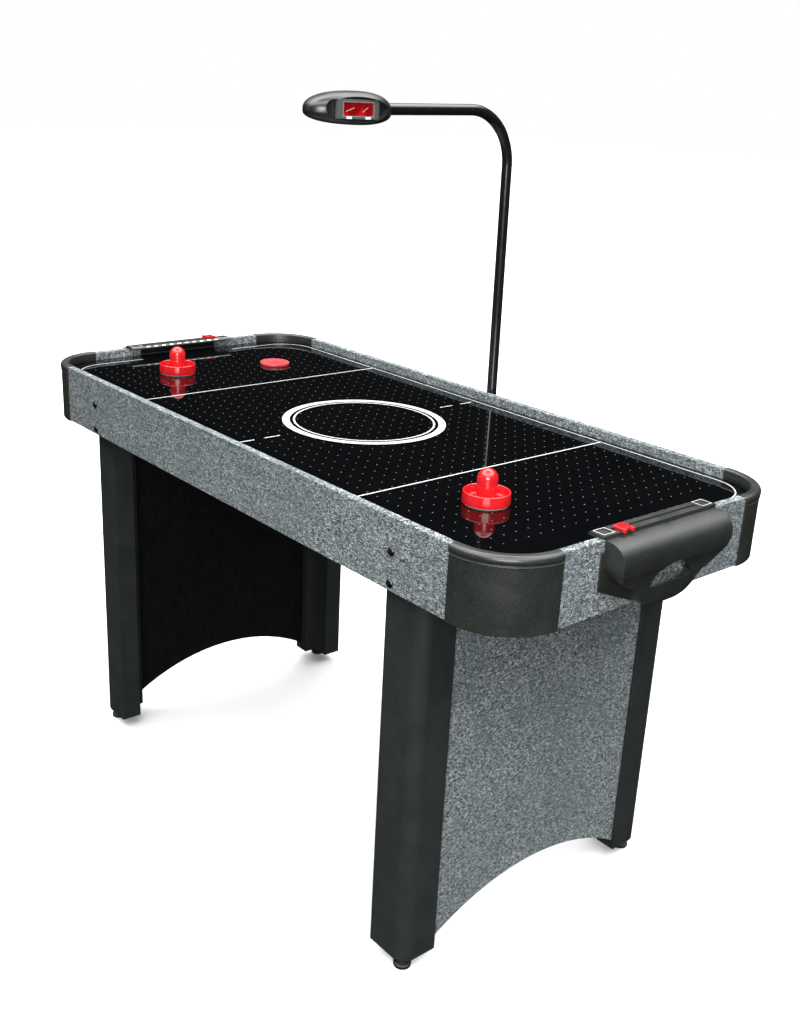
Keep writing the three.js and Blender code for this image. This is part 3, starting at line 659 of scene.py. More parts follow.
def air_hole_tools():
    """One mesh of countersunk drills, on a square pitch over the field."""
    profile = [
        (0, -HOLE_DEPTH),
        (HOLE_RADIUS, -HOLE_DEPTH),
        (HOLE_RADIUS, -COUNTERSINK),
        (HOLE_RIM, 0),
        (HOLE_RIM, CLEAR_ABOVE),
        (0, CLEAR_ABOVE),
    ]
    points, faces = revolve(profile, 8)
    vertices, all_faces = [], []
    columns, rows = HOLE_COUNTS
    for i in range(columns):
        for j in range(rows):
            x = (i - (columns - 1) / 2) * HOLE_PITCH
            y = (j - (rows - 1) / 2) * HOLE_PITCH
            start = len(vertices)
            vertices.extend(on_table(x, y, FIELD_TOP) + point for point in points)
            all_faces.extend(tuple(start + index for index in face) for face in faces)
    tools = make_object("air_hole_tools", vertices, all_faces)
    tools.data.materials.append(PALE_CORE)
    return tools


def build_playfield():
    board = transformed_copy(NODES["playfield"], "playfield_board", Matrix.Identity(4))
    board.data.materials.clear()
    board.data.materials.append(FIELD_LAMINATE)
    tidy_mesh(board.data, 32)
    combine(board, "DIFFERENCE", air_hole_tools())
    board.data.shade_flat()
    show(board, "table", "playfield_laminate", replaces=["playfield"])


# ---- Corner caps ----

CAP_RADIUS = 0.104
CAP_REACH = 0.1087
CAP_PROUD = 2 * MM
CAP_BEAD_PROUD = 3.5 * MM
CAP_INSIDE = -14 * MM
CAP_TOP = 1.5 * MM
CAP_STEPS = 32
OUTER_ROUND = 7.5 * MM
INNER_ROUND = 4 * MM


def cap_profile():
    """The cap's section as (outwards from the rail's face, height), from its outer foot round."""
    top = RAIL_TOP + CAP_TOP
    bead = RAIL_TOP - 13 * MM
    foot = RAIL_BOTTOM - 1.5 * MM
    return [
        (0.4 * MM, foot),
        (1.4 * MM, foot + 0.5 * MM),
        (CAP_PROUD, foot + 1.6 * MM),
        (CAP_PROUD, bead - 1.8 * MM),
        (CAP_PROUD + 0.9 * MM, bead - 0.9 * MM),
        (CAP_PROUD + 0.9 * MM, bead - 0.2 * MM),
        (0.9 * MM, bead + 0.5 * MM),
        (1.1 * MM, bead + 1.4 * MM),
        (2.9 * MM, bead + 3.4 * MM),
        (CAP_BEAD_PROUD, bead + 5.0 * MM),
        *arc((CAP_BEAD_PROUD - OUTER_ROUND, top - OUTER_ROUND), OUTER_ROUND, 0, 90, 9),
        *arc((CAP_INSIDE - 1 * MM + INNER_ROUND, top - INNER_ROUND), INNER_ROUND, 90, 180, 5),
        (CAP_INSIDE - 1 * MM, bead + 0.8 * MM),
        (CAP_INSIDE, bead),
        (CAP_INSIDE, RAIL_BOTTOM),
        (CAP_INSIDE + 1.5 * MM, foot),
    ]


def build_corner_caps():
    """The four caps: a section swept round the corner, with a short straight run at each end."""
    centre = Vector((END_X - CAP_RADIUS, SIDE_Y - CAP_RADIUS))
    rings = []
    straight = CAP_REACH - CAP_RADIUS
    stations = [
        (Vector((-straight, 0)), 90),
        *((Vector((0, 0)), 90 - 90 * step / CAP_STEPS) for step in range(CAP_STEPS + 1)),
        (Vector((0, -straight)), 0),
    ]
    for shift, angle in stations:
        out = Vector((math.cos(math.radians(angle)), math.sin(math.radians(angle))))
        places = [(centre + shift + out * (CAP_RADIUS + n), z) for n, z in cap_profile()]
        rings.append([on_table(place.x, place.y, z) for place, z in places])
    cap = make_object("cap_pattern", *loft(rings), smooth_angle=40)
    for corner, x, y in CORNERS:
        piece = transformed_copy(cap, f"cap_moulding_{corner}", mirror(x, y))
        show(piece, "table", "black_plastic", BLACK_PLASTIC, replaces=[f"corner_cap_{corner}"])
        soften(piece, 0.35, angle=50)
    bpy.data.objects.remove(cap)


# ---- Goal boxes ----

HOOD_HALF_WIDTH = 0.125
HOOD_BOTTOM = 0.667
HOOD_WALL = 2.5 * MM
HOOD_BACK = END_X + 0.3 * MM
HOOD_REACH = END_X + 0.045
FLANGE = 7 * MM
FLANGE_HEIGHTS = (0.711, 0.769)
FLANGE_FOOT = (0.060, 0.681)
FINGER_HALF_WIDTH = 0.048
FINGER_HEIGHTS = (0.704, 0.740)


def hood_side(wall):
    """The goal box from the side, X and Z, drawn in by a wall for its hollow."""
    curve = smooth_line([
        (0.711 - wall / 2, HOOD_BOTTOM + wall),
        (0.718 - wall, HOOD_BOTTOM + 9 * MM),
        (0.7265 - wall, 0.722),
        (0.733 - wall, 0.740),
        (0.7358 - wall, 0.756),
        (0.735 - wall, 0.767),
        (0.731 - wall, 0.775),
        (0.723 - wall * 0.8, 0.782 - wall * 0.6),
        (0.711 - wall * 0.3, 0.7862 - wall),
        (HOOD_BACK + 2 * MM, RAIL_TOP + 0.3 * MM - wall),
    ])
    start = HOOD_BACK - (5 * MM if wall else 0)
    return [(start, HOOD_BOTTOM + wall), *curve, (start, RAIL_TOP + 0.3 * MM - wall)]


def hood_front(wall):
    """The goal box from the front, Y and Z: a wide hood drawn in to a rounded catch tray."""
    half = HOOD_HALF_WIDTH - wall
    curve = smooth_line([
        (half, 0.754),
        (half - 2.5 * MM, 0.742),
        (half - 11 * MM, 0.729),
        (0.099 - wall, 0.718 + wall * 0.6),
        (0.082 - wall, 0.710 + wall * 0.6),
        (0.069 - wall, 0.702 + wall * 0.5),
        (0.062 - wall, 0.690),
        (0.047 - wall * 0.8, HOOD_BOTTOM + 10 * MM + wall * 0.6),
        (0.026 - wall * 0.4, HOOD_BOTTOM + 2.5 * MM + wall),
        (0.0, HOOD_BOTTOM + wall),
    ])
    right = [(half, RAIL_TOP + 5 * MM), *curve]
    left = [(-y, z) for y, z in reversed(right[:-1])]
    return [*right, *left]


def hood_body(wall):
    """The solid goal box, or with a wall its hollow."""
    start = END_X - 5 * MM if wall else END_X
    body = prism("hood", hood_side(wall), "Y", -HOOD_HALF_WIDTH, HOOD_HALF_WIDTH)
    return combine(body, "INTERSECT", prism("front", hood_front(wall), "X", start, HOOD_REACH))


def finger_tool():
    """The arched opening over the catch tray, with a straight lip."""
    lip, crown = FINGER_HEIGHTS
    rise = crown - lip - 4 * MM
    radius = (FINGER_HALF_WIDTH ** 2 + rise ** 2) / (2 * rise)
    sweep = math.degrees(math.asin(min(1.0, FINGER_HALF_WIDTH / radius)))
    arch = arc((0, crown - radius), radius, 90 - sweep, 90 + sweep, 28)
    low = FINGER_HALF_WIDTH * 0.7
    return prism("finger", [*arch, (-low, lip), (low, lip)], "X", END_X + 0.010, HOOD_REACH)


def build_goal_boxes():
    """A hollow hood on a thin back plate at each end, open where the fingers go in."""
    box = hood_body(0)
    reach = HOOD_HALF_WIDTH + FLANGE
    half_plate = [FLANGE_FOOT, (reach, FLANGE_HEIGHTS[0]), (reach, FLANGE_HEIGHTS[1])]
    outline = half_plate + [(-y, z) for y, z in reversed(half_plate)]
    plate = prism("flange", outline, "X", HOOD_BACK, HOOD_BACK + HOOD_WALL)
    combine(box, "UNION", plate)
    combine(box, "DIFFERENCE", hood_body(HOOD_WALL), finger_tool(), smooth_angle=30)
    for end, x in ENDS.items():
        piece = transformed_copy(box, f"goal_moulding_{end}", mirror(x, 1))
        show(piece, "table", "black_plastic", BLACK_PLASTIC, replaces=[f"goal_box_{end}"])
        soften(piece, 1.0, segments=3, angle=32)
    bpy.data.objects.remove(box)


# ---- Numbers, and the prints on the score bars ----

SEGMENTS_OF = {
    0: "abcdef", 1: "bc", 2: "abdeg", 3: "abcdg", 4: "bcfg",
    5: "acdfg", 6: "acdefg", 7: "abc", 8: "abcdefg", 9: "abcdfg",
}


def segment_strokes(size):
    """The seven strokes of a digit as pairs of ends, on a figure of that width and height."""
    width, height = size
    middle, top = height / 2, height
    ends = {
        "a": ((0, top), (width, top)),
        "b": ((width, top), (width, middle)),
        "c": ((width, middle), (width, 0)),
        "d": ((0, 0), (width, 0)),
        "e": ((0, middle), (0, 0)),
        "f": ((0, top), (0, middle)),
        "g": ((0, middle), (width, middle)),
    }
    return {
        name: [Vector((x - width / 2, y - height / 2)) for x, y in pair]
        for name, pair in ends.items()
    }


def stroke_shape(start, end, thickness):
    """A six-cornered stroke between two points, a little short of both."""
    along = (end - start).normalized()
    across = Vector((-along.y, along.x)) * thickness / 2
    tip = along * thickness / 2
    start = start + tip * 0.6
    end = end - tip * 0.6
    first, last = start + tip, end - tip
    return [start, first + across, last + across, end, last - across, first - across]


def thin_marks(name, shapes, put, thickness):
    """Flat shapes raised by a thickness, in one object; put places a flat point and a height."""
    vertices, faces = [], []
    for shape in shapes:
        rings = [[put(point, height) for point in shape] for height in (0, thickness)]
        points, sides = loft(rings)
        start = len(vertices)
        vertices.extend(points)
        faces.extend(tuple(start + index for index in side) for side in sides)
    return make_object(name, vertices, faces)


BAR_TOP = BAR_HIGH.z
BAR_SLOPE = (BAR_LOW.x, BAR_TOP - 3 * MM, 4 * MM, 3 * MM)
SCORES = range(10)
SCORE_PITCH = 19.5 * MM
TAB = (8.5 * MM, 2.7 * MM)
TAB_LIFT = 0.15 * MM
FIGURE = (1.2 * MM, 1.9 * MM)
FIGURE_STROKE = 0.36 * MM
RECESS_X = (0.6735, 0.6925)
RECESS_Y = (0.1015, 0.1225)
RIM = 1.1 * MM


def flat_box(low_x, high_x, low_y, high_y):
    """The corners of an upright rectangle in a flat drawing."""
    return [Vector(p) for p in ((low_x, low_y), (high_x, low_y), (high_x, high_y), (low_x, high_y))]


def tab_middle(number):
    return (number - (len(SCORES) - 1) / 2) * SCORE_PITCH


def score_tabs():
    """Ten white tabs in a row, centred on nought."""
    half, tall = TAB[0] / 2, TAB[1] / 2
    middles = [tab_middle(number) for number in SCORES]
    return [flat_box(middle - half, middle + half, -tall, tall) for middle in middles]


def score_figures():
    """The figures 0 to 9, one for each tab."""
    shapes = []
    strokes = segment_strokes(FIGURE)
    for number in SCORES:
        for name in SEGMENTS_OF[number]:
            shape = stroke_shape(*strokes[name], FIGURE_STROKE)
            shapes.append([point + Vector((tab_middle(number), 0)) for point in shape])
    return shapes


def on_bar_slope(end_side, point, height):
    """A point of a flat drawing laid on the bar's sloping edge, which faces the playfield."""
    low_x, low_z, run, rise = BAR_SLOPE
    length = math.hypot(run, rise)
    share = 0.5 + point.y / length
    lift = height + TAB_LIFT
    x = low_x + run * share - lift * rise / length
    z = low_z + rise * share + lift * run / length
    return on_table(end_side * x, -end_side * point.x, z)


def outline_strips(low_x, high_x, low_y, high_y, width):
    """Four strips that frame a rectangle."""
    return [
        flat_box(low_x - width, high_x + width, low_y - width, low_y),
        flat_box(low_x - width, high_x + width, high_y, high_y + width),
        flat_box(low_x - width, low_x, low_y, high_y),
        flat_box(high_x, high_x + width, low_y, high_y),
    ]


def rim_shapes():
    """The pale outline round each end recess."""
    shapes = []
    low_x, high_x = RECESS_X
    for side in (-1, 1):
        low_y, high_y = sorted((side * RECESS_Y[0], side * RECESS_Y[1]))
        shapes.extend(outline_strips(low_x, high_x, low_y, high_y, RIM))
    return shapes


def build_score_prints():
    """The tabs and their figures on each bar's slope, and the outlines on its flat top."""
    for end, x in ENDS.items():
        def put_tab(point, height, side=x):
            return on_bar_slope(side, point, height)

        def put_figure(point, height, side=x):
            return on_bar_slope(side, point, height + 0.2 * MM)

        def put_rim(point, height, side=x):
            return on_table(side * point.x, point.y, BAR_TOP + height)

        prints = [
            ("score_tabs", score_tabs(), put_tab, 0.15 * MM, TAB_INK_PAINTED_GLOW),
            ("score_figures", score_figures(), put_figure, 0.10 * MM, BLACK_INK),
            ("bar_outlines", rim_shapes(), put_rim, 0.12 * MM, WHITE_INK),
        ]
        for name, shapes, put, thickness, ink in prints:
            show(thin_marks(f"{name}_{end}", shapes, put, thickness), "table", "black_plastic", ink)


# ---- Pole and display head ----

POLE_RADIUS = 10 * MM
POLE_BORE = 8 * MM
POLE_BEND = 0.100
POLE_LEAN = 5 * MM
POLE_SIDES = 32
HEAD_Y = -0.047
HEAD_NOSE = 0.102
HEAD_TAIL = 0.070
HEAD_WIDTH = 0.088
HEAD_HEIGHT = 1.3255
HEAD_SEAM = HEAD_HEIGHT - 5 * MM
HEAD_RISE = 0.033
HEAD_DROP = 0.022
HEAD_TAPER = 2.2
HEAD_SQUARENESS = 2.7
HEAD_STEPS = 48
HEAD_TURNS = 36
SEAM_GAP = 0.15 * MM
OUTSIDE = 60 * MM
# The almonds cut into each side: centre, half length, rise, drop, and how far out they start.
POCKET = ((-0.0645, HEAD_HEIGHT - 1 * MM), 0.0615, 20 * MM, 21 * MM)
SCOOP = ((-0.1105, HEAD_HEIGHT - 1 * MM), 0.0175, 15 * MM, 17 * MM)
SIDE_CUTS = (("pocket", POCKET, 31.5 * MM), ("scoop", SCOOP, 24.5 * MM))
HOLE_START = 24 * MM
BEZEL_GAP = 0.3 * MM
# Each painted highlight stroke's two ends, in millimetres from the middle of the window: two pale glowing
# slants that stand for the window's highlights.
HIGHLIGHT_STROKE_ENDS = (((-26, -3.8), (-8, 2.3)), ((9, -4.6), (21.5, 3.8)))
OUTLINE = 0.8 * MM


def build_pole():
    """A bent tube: up from its bracket, leaning in a little, a quarter bend and the arm."""
    pole_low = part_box("score_pole")[0].z
    stand = POLE_Y - POLE_RADIUS
    arm_height = POLE_TOP - POLE_RADIUS
    bend_y = stand - POLE_LEAN - POLE_BEND
    bend = arc((bend_y, arm_height - POLE_BEND), POLE_BEND, 0, 90, 28)
    arm_end = (HEAD_Y + HEAD_TAIL - 14 * MM, HEAD_HEIGHT)
    line = [Vector(p) for p in ((stand, pole_low), (stand, RAIL_TOP), *bend, arm_end)]
    rings = []
    for index, point in enumerate(line):
        before = line[max(index - 1, 0)]
        after = line[min(index + 1, len(line) - 1)]
        along = (after - before).normalized()
        if index == 0:
            along = Vector((0, 1))
        across = Vector((along.y, -along.x))
        ring = []
        for radius in (POLE_RADIUS, POLE_BORE):
            for turn in range(POLE_SIDES):
                angle = 2 * math.pi * turn / POLE_SIDES
                place = point + across * radius * math.cos(angle)
                ring.append(on_table(radius * math.sin(angle), place.x, place.y))
        rings.append(ring)
    pole = make_object("pole_tube", *tube_skin(rings, POLE_SIDES))
    show(pole, "table", "pole_paint", POLE_PAINT, replaces=["score_pole"])
    soften(pole, 0.4)


def tube_skin(rings, sides):
    """A skin over rings that each hold an outer circle and then an inner one."""
    vertices = [point for ring in rings for point in ring]
    count = 2 * sides
    faces = []
    for i in range(len(rings) - 1):
        for j in range(sides):
            k = (j + 1) % sides
            for start in (0, sides):
                a, b = i * count + start, (i + 1) * count + start
                faces.append((a + j, a + k, b + k, b + j))
    for start in (0, (len(rings) - 1) * count):
        for j in range(sides):
            k = (j + 1) % sides
            faces.append((start + j, start + k, start + sides + k, start + sides + j))
    return vertices, faces


def signed_power(value, power):
    return math.copysign(abs(value) ** power, value)


def head_half(name, height, low, high):
    """The upper or lower half of the head: a long egg with a squared section, flat on its seam."""
    rings = []
    for step in range(1, HEAD_STEPS):
        polar = math.pi * step / HEAD_STEPS
        girth = math.sin(polar) ** (2 / HEAD_TAPER)
        along = signed_power(math.cos(polar), 2 / HEAD_TAPER)
        reach = HEAD_TAIL if along > 0 else HEAD_NOSE
        ring = []
        for turn in range(HEAD_TURNS + 1):
            angle = math.radians(low + (high - low) * turn / HEAD_TURNS)
            across = signed_power(math.cos(angle), 2 / HEAD_SQUARENESS)
            up = signed_power(math.sin(angle), 2 / HEAD_SQUARENESS)
            gap = math.copysign(SEAM_GAP, height)
            ring.append(on_table(
                HEAD_WIDTH / 2 * girth * across,
                HEAD_Y + along * reach,
                HEAD_SEAM + gap + (abs(height) - SEAM_GAP) * girth * up,
            ))
        rings.append(ring)
    return make_object(name, *loft(rings), smooth_angle=50)


def almond(centre, half_length, rise, drop, steps=48):
    """An oval outline, Y and Z, of one height over its middle and another under it."""
    points = []
    for step in range(steps):
        angle = 2 * math.pi * step / steps
        up = math.sin(angle)
        points.append((
            centre[0] + half_length * math.cos(angle),
            centre[1] + (rise if up > 0 else drop) * up,
        ))
    return points


def head_tools():
    """What is taken out of the head: a scooped pocket and a display hole on each side, and the arm."""
    tools = []
    bezel_low, bezel_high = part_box("display_bezel_near")
    for side in (-1, 1):
        for name, outline, start in SIDE_CUTS:
            tools.append(prism(name, almond(*outline), "X", *sorted((side * start, side * OUTSIDE))))
        low_x, high_x = sorted((side * HOLE_START, side * OUTSIDE))
        low = (low_x, bezel_low.y - MIDDLE_Y - BEZEL_GAP, bezel_low.z - BEZEL_GAP)
        high = (high_x, bezel_high.y - MIDDLE_Y + BEZEL_GAP, bezel_high.z + BEZEL_GAP)
        tools.append(block("display_hole", low, high))
    circle = [(POLE_RADIUS + 0.6 * MM) * Vector(p) for p in arc((0, 0), 1, 0, 360 - 11.25, 31)]
    section = [(p.x, HEAD_HEIGHT + p.y) for p in circle]
    tools.append(prism("arm", section, "Y", HEAD_Y + 0.030, HEAD_Y + 2 * HEAD_TAIL))
    return tools


def build_head():
    """The two shells of the head, which meet on a seam."""
    upper = head_half("head_top", HEAD_RISE, 0, 180)
    lower = head_half("head_base", -HEAD_DROP, 180, 360)
    for piece, node in ((upper, "head_upper_shell"), (lower, "head_lower_shell")):
        combine(piece, "DIFFERENCE", *head_tools(), smooth_angle=34)
        show(piece, "table", "gloss_shell", HEAD_SHELL, replaces=[node])
        soften(piece, 0.5, segments=3, angle=36)


def window_shapes(bezel_low, window_low, window_high):
    """The pale line round a window and the two tabs under it, as flat shapes in Y and Z."""
    low_y, high_y = window_low.y - MIDDLE_Y - OUTLINE, window_high.y - MIDDLE_Y + OUTLINE
    low_z, high_z = window_low.z - OUTLINE, window_high.z + OUTLINE
    outline = outline_strips(low_y, high_y, low_z, high_z, OUTLINE)
    foot = bezel_low.z + 0.2 * MM
    middles = [(low_y + high_y) / 2 + shift for shift in (-20 * MM, 20 * MM)]
    tabs = [flat_box(middle - 5.6 * MM, middle + 5.6 * MM, foot, foot + 3.6 * MM) for middle in middles]
    return outline, tabs


def display_trim():
    """The outline, tabs and two painted highlight strokes of each display."""
    bezel_low, bezel_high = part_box("display_bezel_near")
    window_low, window_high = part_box("display_window_near")
    outline, tabs = window_shapes(bezel_low, window_low, window_high)
    centre_y = (window_low.y + window_high.y) / 2 - MIDDLE_Y
    centre = Vector((centre_y, (window_low.z + window_high.z) / 2))
    strokes = [
        [centre + point for point in stroke_shape(Vector(start) * MM, Vector(end) * MM, 0.9 * MM)]
        for start, end in HIGHLIGHT_STROKE_ENDS
    ]
    layers = [
        ("display_outline", outline, bezel_high.x, PINK_INK, "grey_plastic"),
        ("display_tabs", tabs, bezel_high.x + 0.1 * MM, TAB_INK_PAINTED_GLOW, "grey_plastic"),
        ("display_painted_highlights", strokes, window_high.x, HIGHLIGHT_STROKE_INK, "red_window"),
    ]
    for end, x in ENDS.items():
        for name, shapes, face, material, slot in layers:
            def put(point, height, x=x, face=face):
                return on_table(x * (face + height), point.x, point.y)

            show(thin_marks(f"{name}_{end}", shapes, put, 0.2 * MM), "table", slot, material)


# ---- Turned pieces: mallets, puck, feet, bolts and screws ----


ROUND_SIDES = 72
COLLAR_TOP = 12 * MM
THREAD_PITCH = 1.25 * MM
# The ribs of a foot: how deep they are as a share of its radius, and how many.
RIB_DEPTH = 0.012
RIBS = 18


def turned_on(node, name, profile, smooth_angle, ripple=0.0, ripples=0):
    """A solid of revolution that stands in the middle of a node's box."""
    low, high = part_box(node)
    foot = Vector(((low.x + high.x) / 2, (low.y + high.y) / 2, low.z))
    vertices, faces = revolve(profile, ROUND_SIDES, ripple, ripples)
    return make_object(name, [vertex + foot for vertex in vertices], faces, smooth_angle)


def build_mallets():
    """A cup-shaped mallet with a rolled rim, a stepped foot and a domed knob."""
    for end in ENDS:
        low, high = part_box(f"mallet_{end}")
        radius = (high.x - low.x) / 2
        height = high.z - low.z
        knob = 16.5 * MM
        profile = [
            (0, 0),
            (radius - 1.2 * MM, 0),
            (radius - 0.3 * MM, 0.4 * MM),
            (radius, 1.3 * MM),
            (radius - 0.4 * MM, 12 * MM),
            (radius - 0.6 * MM, 17 * MM),
            *arc((radius - 2.2 * MM, 17.3 * MM), 1.6 * MM, 0, 180, 8),
            (radius - 4.2 * MM, 8 * MM),
            *arc((radius - 7.2 * MM, 7 * MM), 3 * MM, 0, -90, 4),
            (knob + 4 * MM, 4.2 * MM),
            *arc((knob + 2.5 * MM, 6.8 * MM), 2.6 * MM, -90, -180, 4),
            (knob - 0.6 * MM, 20 * MM),
            (knob - 0.3 * MM, 30 * MM),
            *arc((0, height - knob), knob, 0, 90, 14),
        ]
        piece = turned_on(f"mallet_{end}", f"mallet_body_{end}", profile, 40)
        show(piece, f"mallet_{end}", "red_plastic", RED, replaces=[f"mallet_{end}"])


def build_puck():
    """A flat puck with rounded rims and a shallow dished face on each side."""
    low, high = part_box("puck")
    radius = (high.x - low.x) / 2
    thick = high.z - low.z
    dish, rounding = 0.25 * MM, 1.2 * MM
    profile = [
        (0, dish),
        (radius - 9 * MM, dish),
        (radius - 8 * MM, 0),
        *arc((radius - rounding, rounding), rounding, -90, 0, 5),
        *arc((radius - rounding, thick - rounding), rounding, 0, 90, 5),
        (radius - 8 * MM, thick),
        (radius - 9 * MM, thick - dish),
        (0, thick - dish),
    ]
    piece = turned_on("puck", "puck_disc", profile, 40)
    show(piece, "puck", "red_plastic", PUCK_RED, replaces=["puck"])


def build_feet():
    """A levelling foot at each leg: a ribbed disc, a collar and a threaded stem."""
    for corner, _, _ in CORNERS:
        name = f"levelling_foot_{corner}"
        low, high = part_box(name)
        radius = (high.x - low.x) / 2 * 0.985
        profile = [
            (0, 0),
            (radius - 2 * MM, 0),
            (radius - 0.5 * MM, 0.6 * MM),
            (radius, 2 * MM),
            (radius, 6.2 * MM),
            (radius - 1.2 * MM, 7.4 * MM),
            (radius * 0.66, 9 * MM),
            (radius * 0.6, COLLAR_TOP),
            (4 * MM, COLLAR_TOP),
        ]
        thread_top = high.z - low.z
        turns = int((thread_top - COLLAR_TOP) / THREAD_PITCH)
        for turn in range(turns):
            height = COLLAR_TOP + turn * THREAD_PITCH
            profile.extend([(3.3 * MM, height + 0.3 * MM), (3.95 * MM, height + 0.9 * MM)])
        profile.extend([(3.2 * MM, thread_top), (0, thread_top)])
        foot = turned_on(name, f"foot_{corner}", profile, 30, RIB_DEPTH, RIBS)
        show(foot, name, "foot_plastic", FOOT_PLASTIC, replaces=[name])


def bolt_profile(radius, head, length, dome):
    """Half the section of a domed bolt, with the underside of its head near height 0."""
    return [
        (0, -length),
        (radius, -length + 1 * MM),
        (radius, 0.3 * MM),
        (head * 0.98, 0.3 * MM),
        (head, 0.9 * MM),
        *[(head * math.cos(math.radians(a)), 0.9 * MM + (dome - 0.9 * MM) * math.sin(math.radians(a)))
          for a in range(10, 80, 10)],
        (0, dome),
    ]


def build_bolts():
    """Domed bolts through the side rails, with a hexagon socket in the head."""
    profile = bolt_profile(4 * MM, 7 * MM, 46 * MM, 4.5 * MM)
    pattern = make_object("bolt_pattern", *revolve(profile, 40), smooth_angle=36)
    socket = arc((0, 0), 2.3 * MM, 0, 300, 5)
    rings = [[Vector((x, y, z)) for x, y in socket] for z in (2 * MM, 8 * MM)]
    combine(pattern, "DIFFERENCE", make_object("socket", *loft(rings)), smooth_angle=36)
    for corner, _, y in CORNERS:
        for level in ("upper", "lower"):
            node = f"leg_bolt_{corner}_{level}"
            low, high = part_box(node)
            face = on_table(0, y * SIDE_Y, 0).y
            place = Matrix.Translation(((low.x + high.x) / 2, face, (low.z + high.z) / 2))
            turned = place @ Matrix.Rotation(-y * math.pi / 2, 4, "X")
            bolt = transformed_copy(pattern, f"bolt_{corner}_{level}", turned)
            show(bolt, "table", "bolt_steel", BOLT_STEEL, replaces=[node])
    bpy.data.objects.remove(pattern)


def build_screws():
    """Small cross-head screws at the bracket and the blower's flange."""
    profile = bolt_profile(1.6 * MM, 3.6 * MM, 6 * MM, 2.4 * MM)
    pattern = make_object("screw_pattern", *revolve(profile, 28), smooth_angle=36)
    half_length, half_width = 2.2 * MM, 0.45 * MM
    slot_low = (-half_length, -half_width - MIDDLE_Y, 1.2 * MM)
    slot_high = (half_length, half_width - MIDDLE_Y, 4 * MM)
    for angle in (0, 90):
        cross = block("cross", slot_low, slot_high)
        cross.data.transform(Matrix.Rotation(math.radians(angle), 4, "Z"))
        combine(pattern, "DIFFERENCE", cross, smooth_angle=36)
    bracket_low, bracket_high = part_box("pole_bracket")
    face_y = SIDE_Y + MIDDLE_Y + 4 * MM
    out_y = Matrix.Rotation(-math.pi / 2, 4, "X")
    down = Matrix.Rotation(math.pi, 4, "X")
    places = []
    for x in (-19 * MM, 19 * MM):
        for z in (bracket_low.z + 10 * MM, bracket_high.z - 10 * MM):
            places.append(Matrix.Translation((x, face_y, z)) @ out_y)
    flange_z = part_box("blower_housing")[1].z - 4 * MM
    for x in (-88 * MM, 88 * MM):
        for y in (-88 * MM, 88 * MM):
            places.append(Matrix.Translation(on_table(x, y, flange_z)) @ down)
    for index, place in enumerate(places):
        screw = transformed_copy(pattern, f"screw_{index + 1}", place)
        show(screw, "table", "bolt_steel", BOLT_STEEL)
    bpy.data.objects.remove(pattern)


# ---- Floor, light and camera ----

CAMERA_PLACE = (1.6537, -1.34005, 1.3612)
CAMERA_HEADING = 0.858
CAMERA_DIP = 0.3466
CAMERA_ROLL = 0.0506
CAMERA_LENS = 41.19
FLOOR_HALF = 30.0


def build_floor():
    """A sheet of white paper that takes the table's shadow and throws no light back up at it."""
    corners = flat_box(-FLOOR_HALF, FLOOR_HALF, -FLOOR_HALF, FLOOR_HALF)
    floor = make_object("floor", [(*corner, 0) for corner in corners], [(0, 1, 2, 3)])
    graph = Graph("floor_paper")
    graph.set("Base Color", graph.mix(graph.noise(3, 3.0), (0.84, 0.84, 0.84), (0.88, 0.88, 0.88)))
    graph.set("Roughness", 0.9)
    graph.set("Specular IOR Level", 0.0)
    floor.data.materials.append(graph.material)
    floor.visible_diffuse = False
    floor.visible_glossy = False


CEILING_LIGHT = 5.5
WALL_LIGHT = 0.007
MIDDLE_LIGHT = 0.6
# Where the light changes over, as the sine of the height above the horizon.
CEILING_EDGE = (0.50, 0.80)
CEILING_MIDDLE = (0.93, 0.97)


def build_sky():
    """A white background, and for the lighting a bright ring of ceiling over a dim room."""
    world = bpy.data.worlds.new("studio")
    bpy.context.scene.world = world
    world.use_nodes = True
    sky = Nodes(world.node_tree)
    split = sky.node("ShaderNodeSeparateXYZ")
    sky.feed(split, 0, sky.node("ShaderNodeTexCoord").outputs["Generated"])
    height = split.outputs[2]
    ceiling = sky.span(height, *CEILING_EDGE, WALL_LIGHT, CEILING_LIGHT)
    middle = sky.span(height, *CEILING_MIDDLE, 1.0, MIDDLE_LIGHT / CEILING_LIGHT)
    seen = sky.node("ShaderNodeMix")
    sky.feed(seen, 0, sky.node("ShaderNodeLightPath").outputs["Is Camera Ray"])
    sky.feed(seen, 2, sky.times(ceiling, middle))
    sky.feed(seen, 3, 1.0)
    background = sky.tree.nodes["Background"]
    sky.feed(background, 0, (1, 1, 1, 1))
    sky.feed(background, 1, seen.outputs[0])


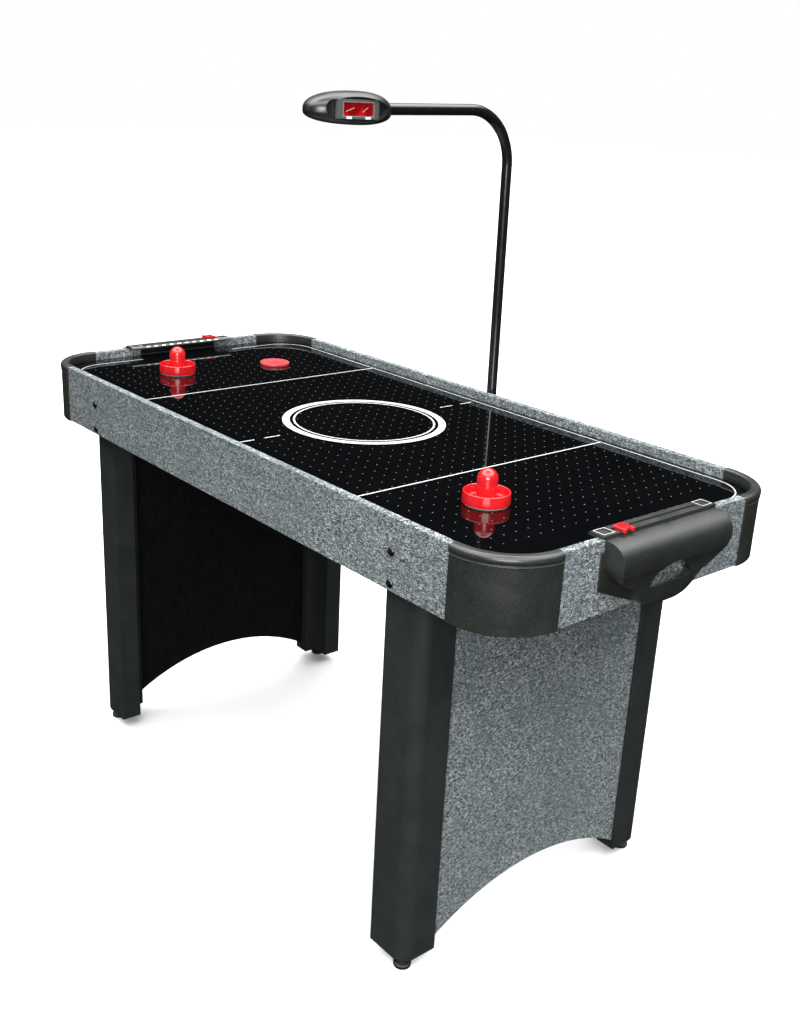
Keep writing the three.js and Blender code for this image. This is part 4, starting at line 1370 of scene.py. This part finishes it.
def soft_box(name, place, target, size, power):
    """A rectangular area light that faces a target."""
    light = bpy.data.lights.new(name, "AREA")
    light.shape = "RECTANGLE"
    light.size, light.size_y = size
    light.energy = power
    lamp = bpy.data.objects.new(name, light)
    bpy.context.scene.collection.objects.link(lamp)
    lamp.location = place
    lamp.rotation_mode = "QUATERNION"
    lamp.rotation_quaternion = (Vector(target) - Vector(place)).to_track_quat("-Z", "Y")
    return lamp


def build_lights():
    """A soft flash by the camera, and fills for the sides that it leaves dark."""
    soft_box("flash", (2.5, -2.05, 1.55), (0.2, 0, 0.60), (1.5, 1.1), 78)
    soft_box("left_fill", (-1.6, -2.6, 1.9), (0, 0, 0.6), (1.4, 1.2), 3)
    back_fill = soft_box("back_fill", (-0.7, 1.3, 3.7), (-0.2, 0, 0.6), (1.5, 1.5), 14)
    far_fill = soft_box("far_fill", (-3.0, 1.2, 1.5), (0, 0, 0.5), (1.5, 1.2), 45)
    for lamp in (back_fill, far_fill):
        lamp.visible_glossy = False


def build_camera():
    """A camera by its place, heading, dip and roll."""
    data = bpy.data.cameras.new("camera")
    data.lens = CAMERA_LENS
    data.sensor_width = 36.0
    camera = bpy.data.objects.new("camera", data)
    bpy.context.scene.collection.objects.link(camera)
    az, el, roll = CAMERA_HEADING, CAMERA_DIP, CAMERA_ROLL
    forward = Vector((-math.sin(az) * math.cos(el), math.cos(az) * math.cos(el), -math.sin(el)))
    right = Vector((math.cos(az), math.sin(az), 0))
    up = right.cross(forward)
    right_rolled = math.cos(roll) * right + math.sin(roll) * up
    up_rolled = -math.sin(roll) * right + math.cos(roll) * up
    turn = Matrix((right_rolled, up_rolled, -forward)).transposed().to_4x4()
    camera.matrix_world = Matrix.Translation(CAMERA_PLACE) @ turn
    bpy.context.scene.camera = camera
    bpy.context.scene.view_settings.view_transform = "Standard"


dress_kept_nodes()
dress_end_panels()
build_playfield()
build_corner_caps()
build_goal_boxes()
build_score_prints()
build_pole()
build_head()
display_trim()
build_mallets()
build_puck()
build_feet()
build_bolts()
build_screws()
build_floor()
build_sky()
build_lights()
build_camera()
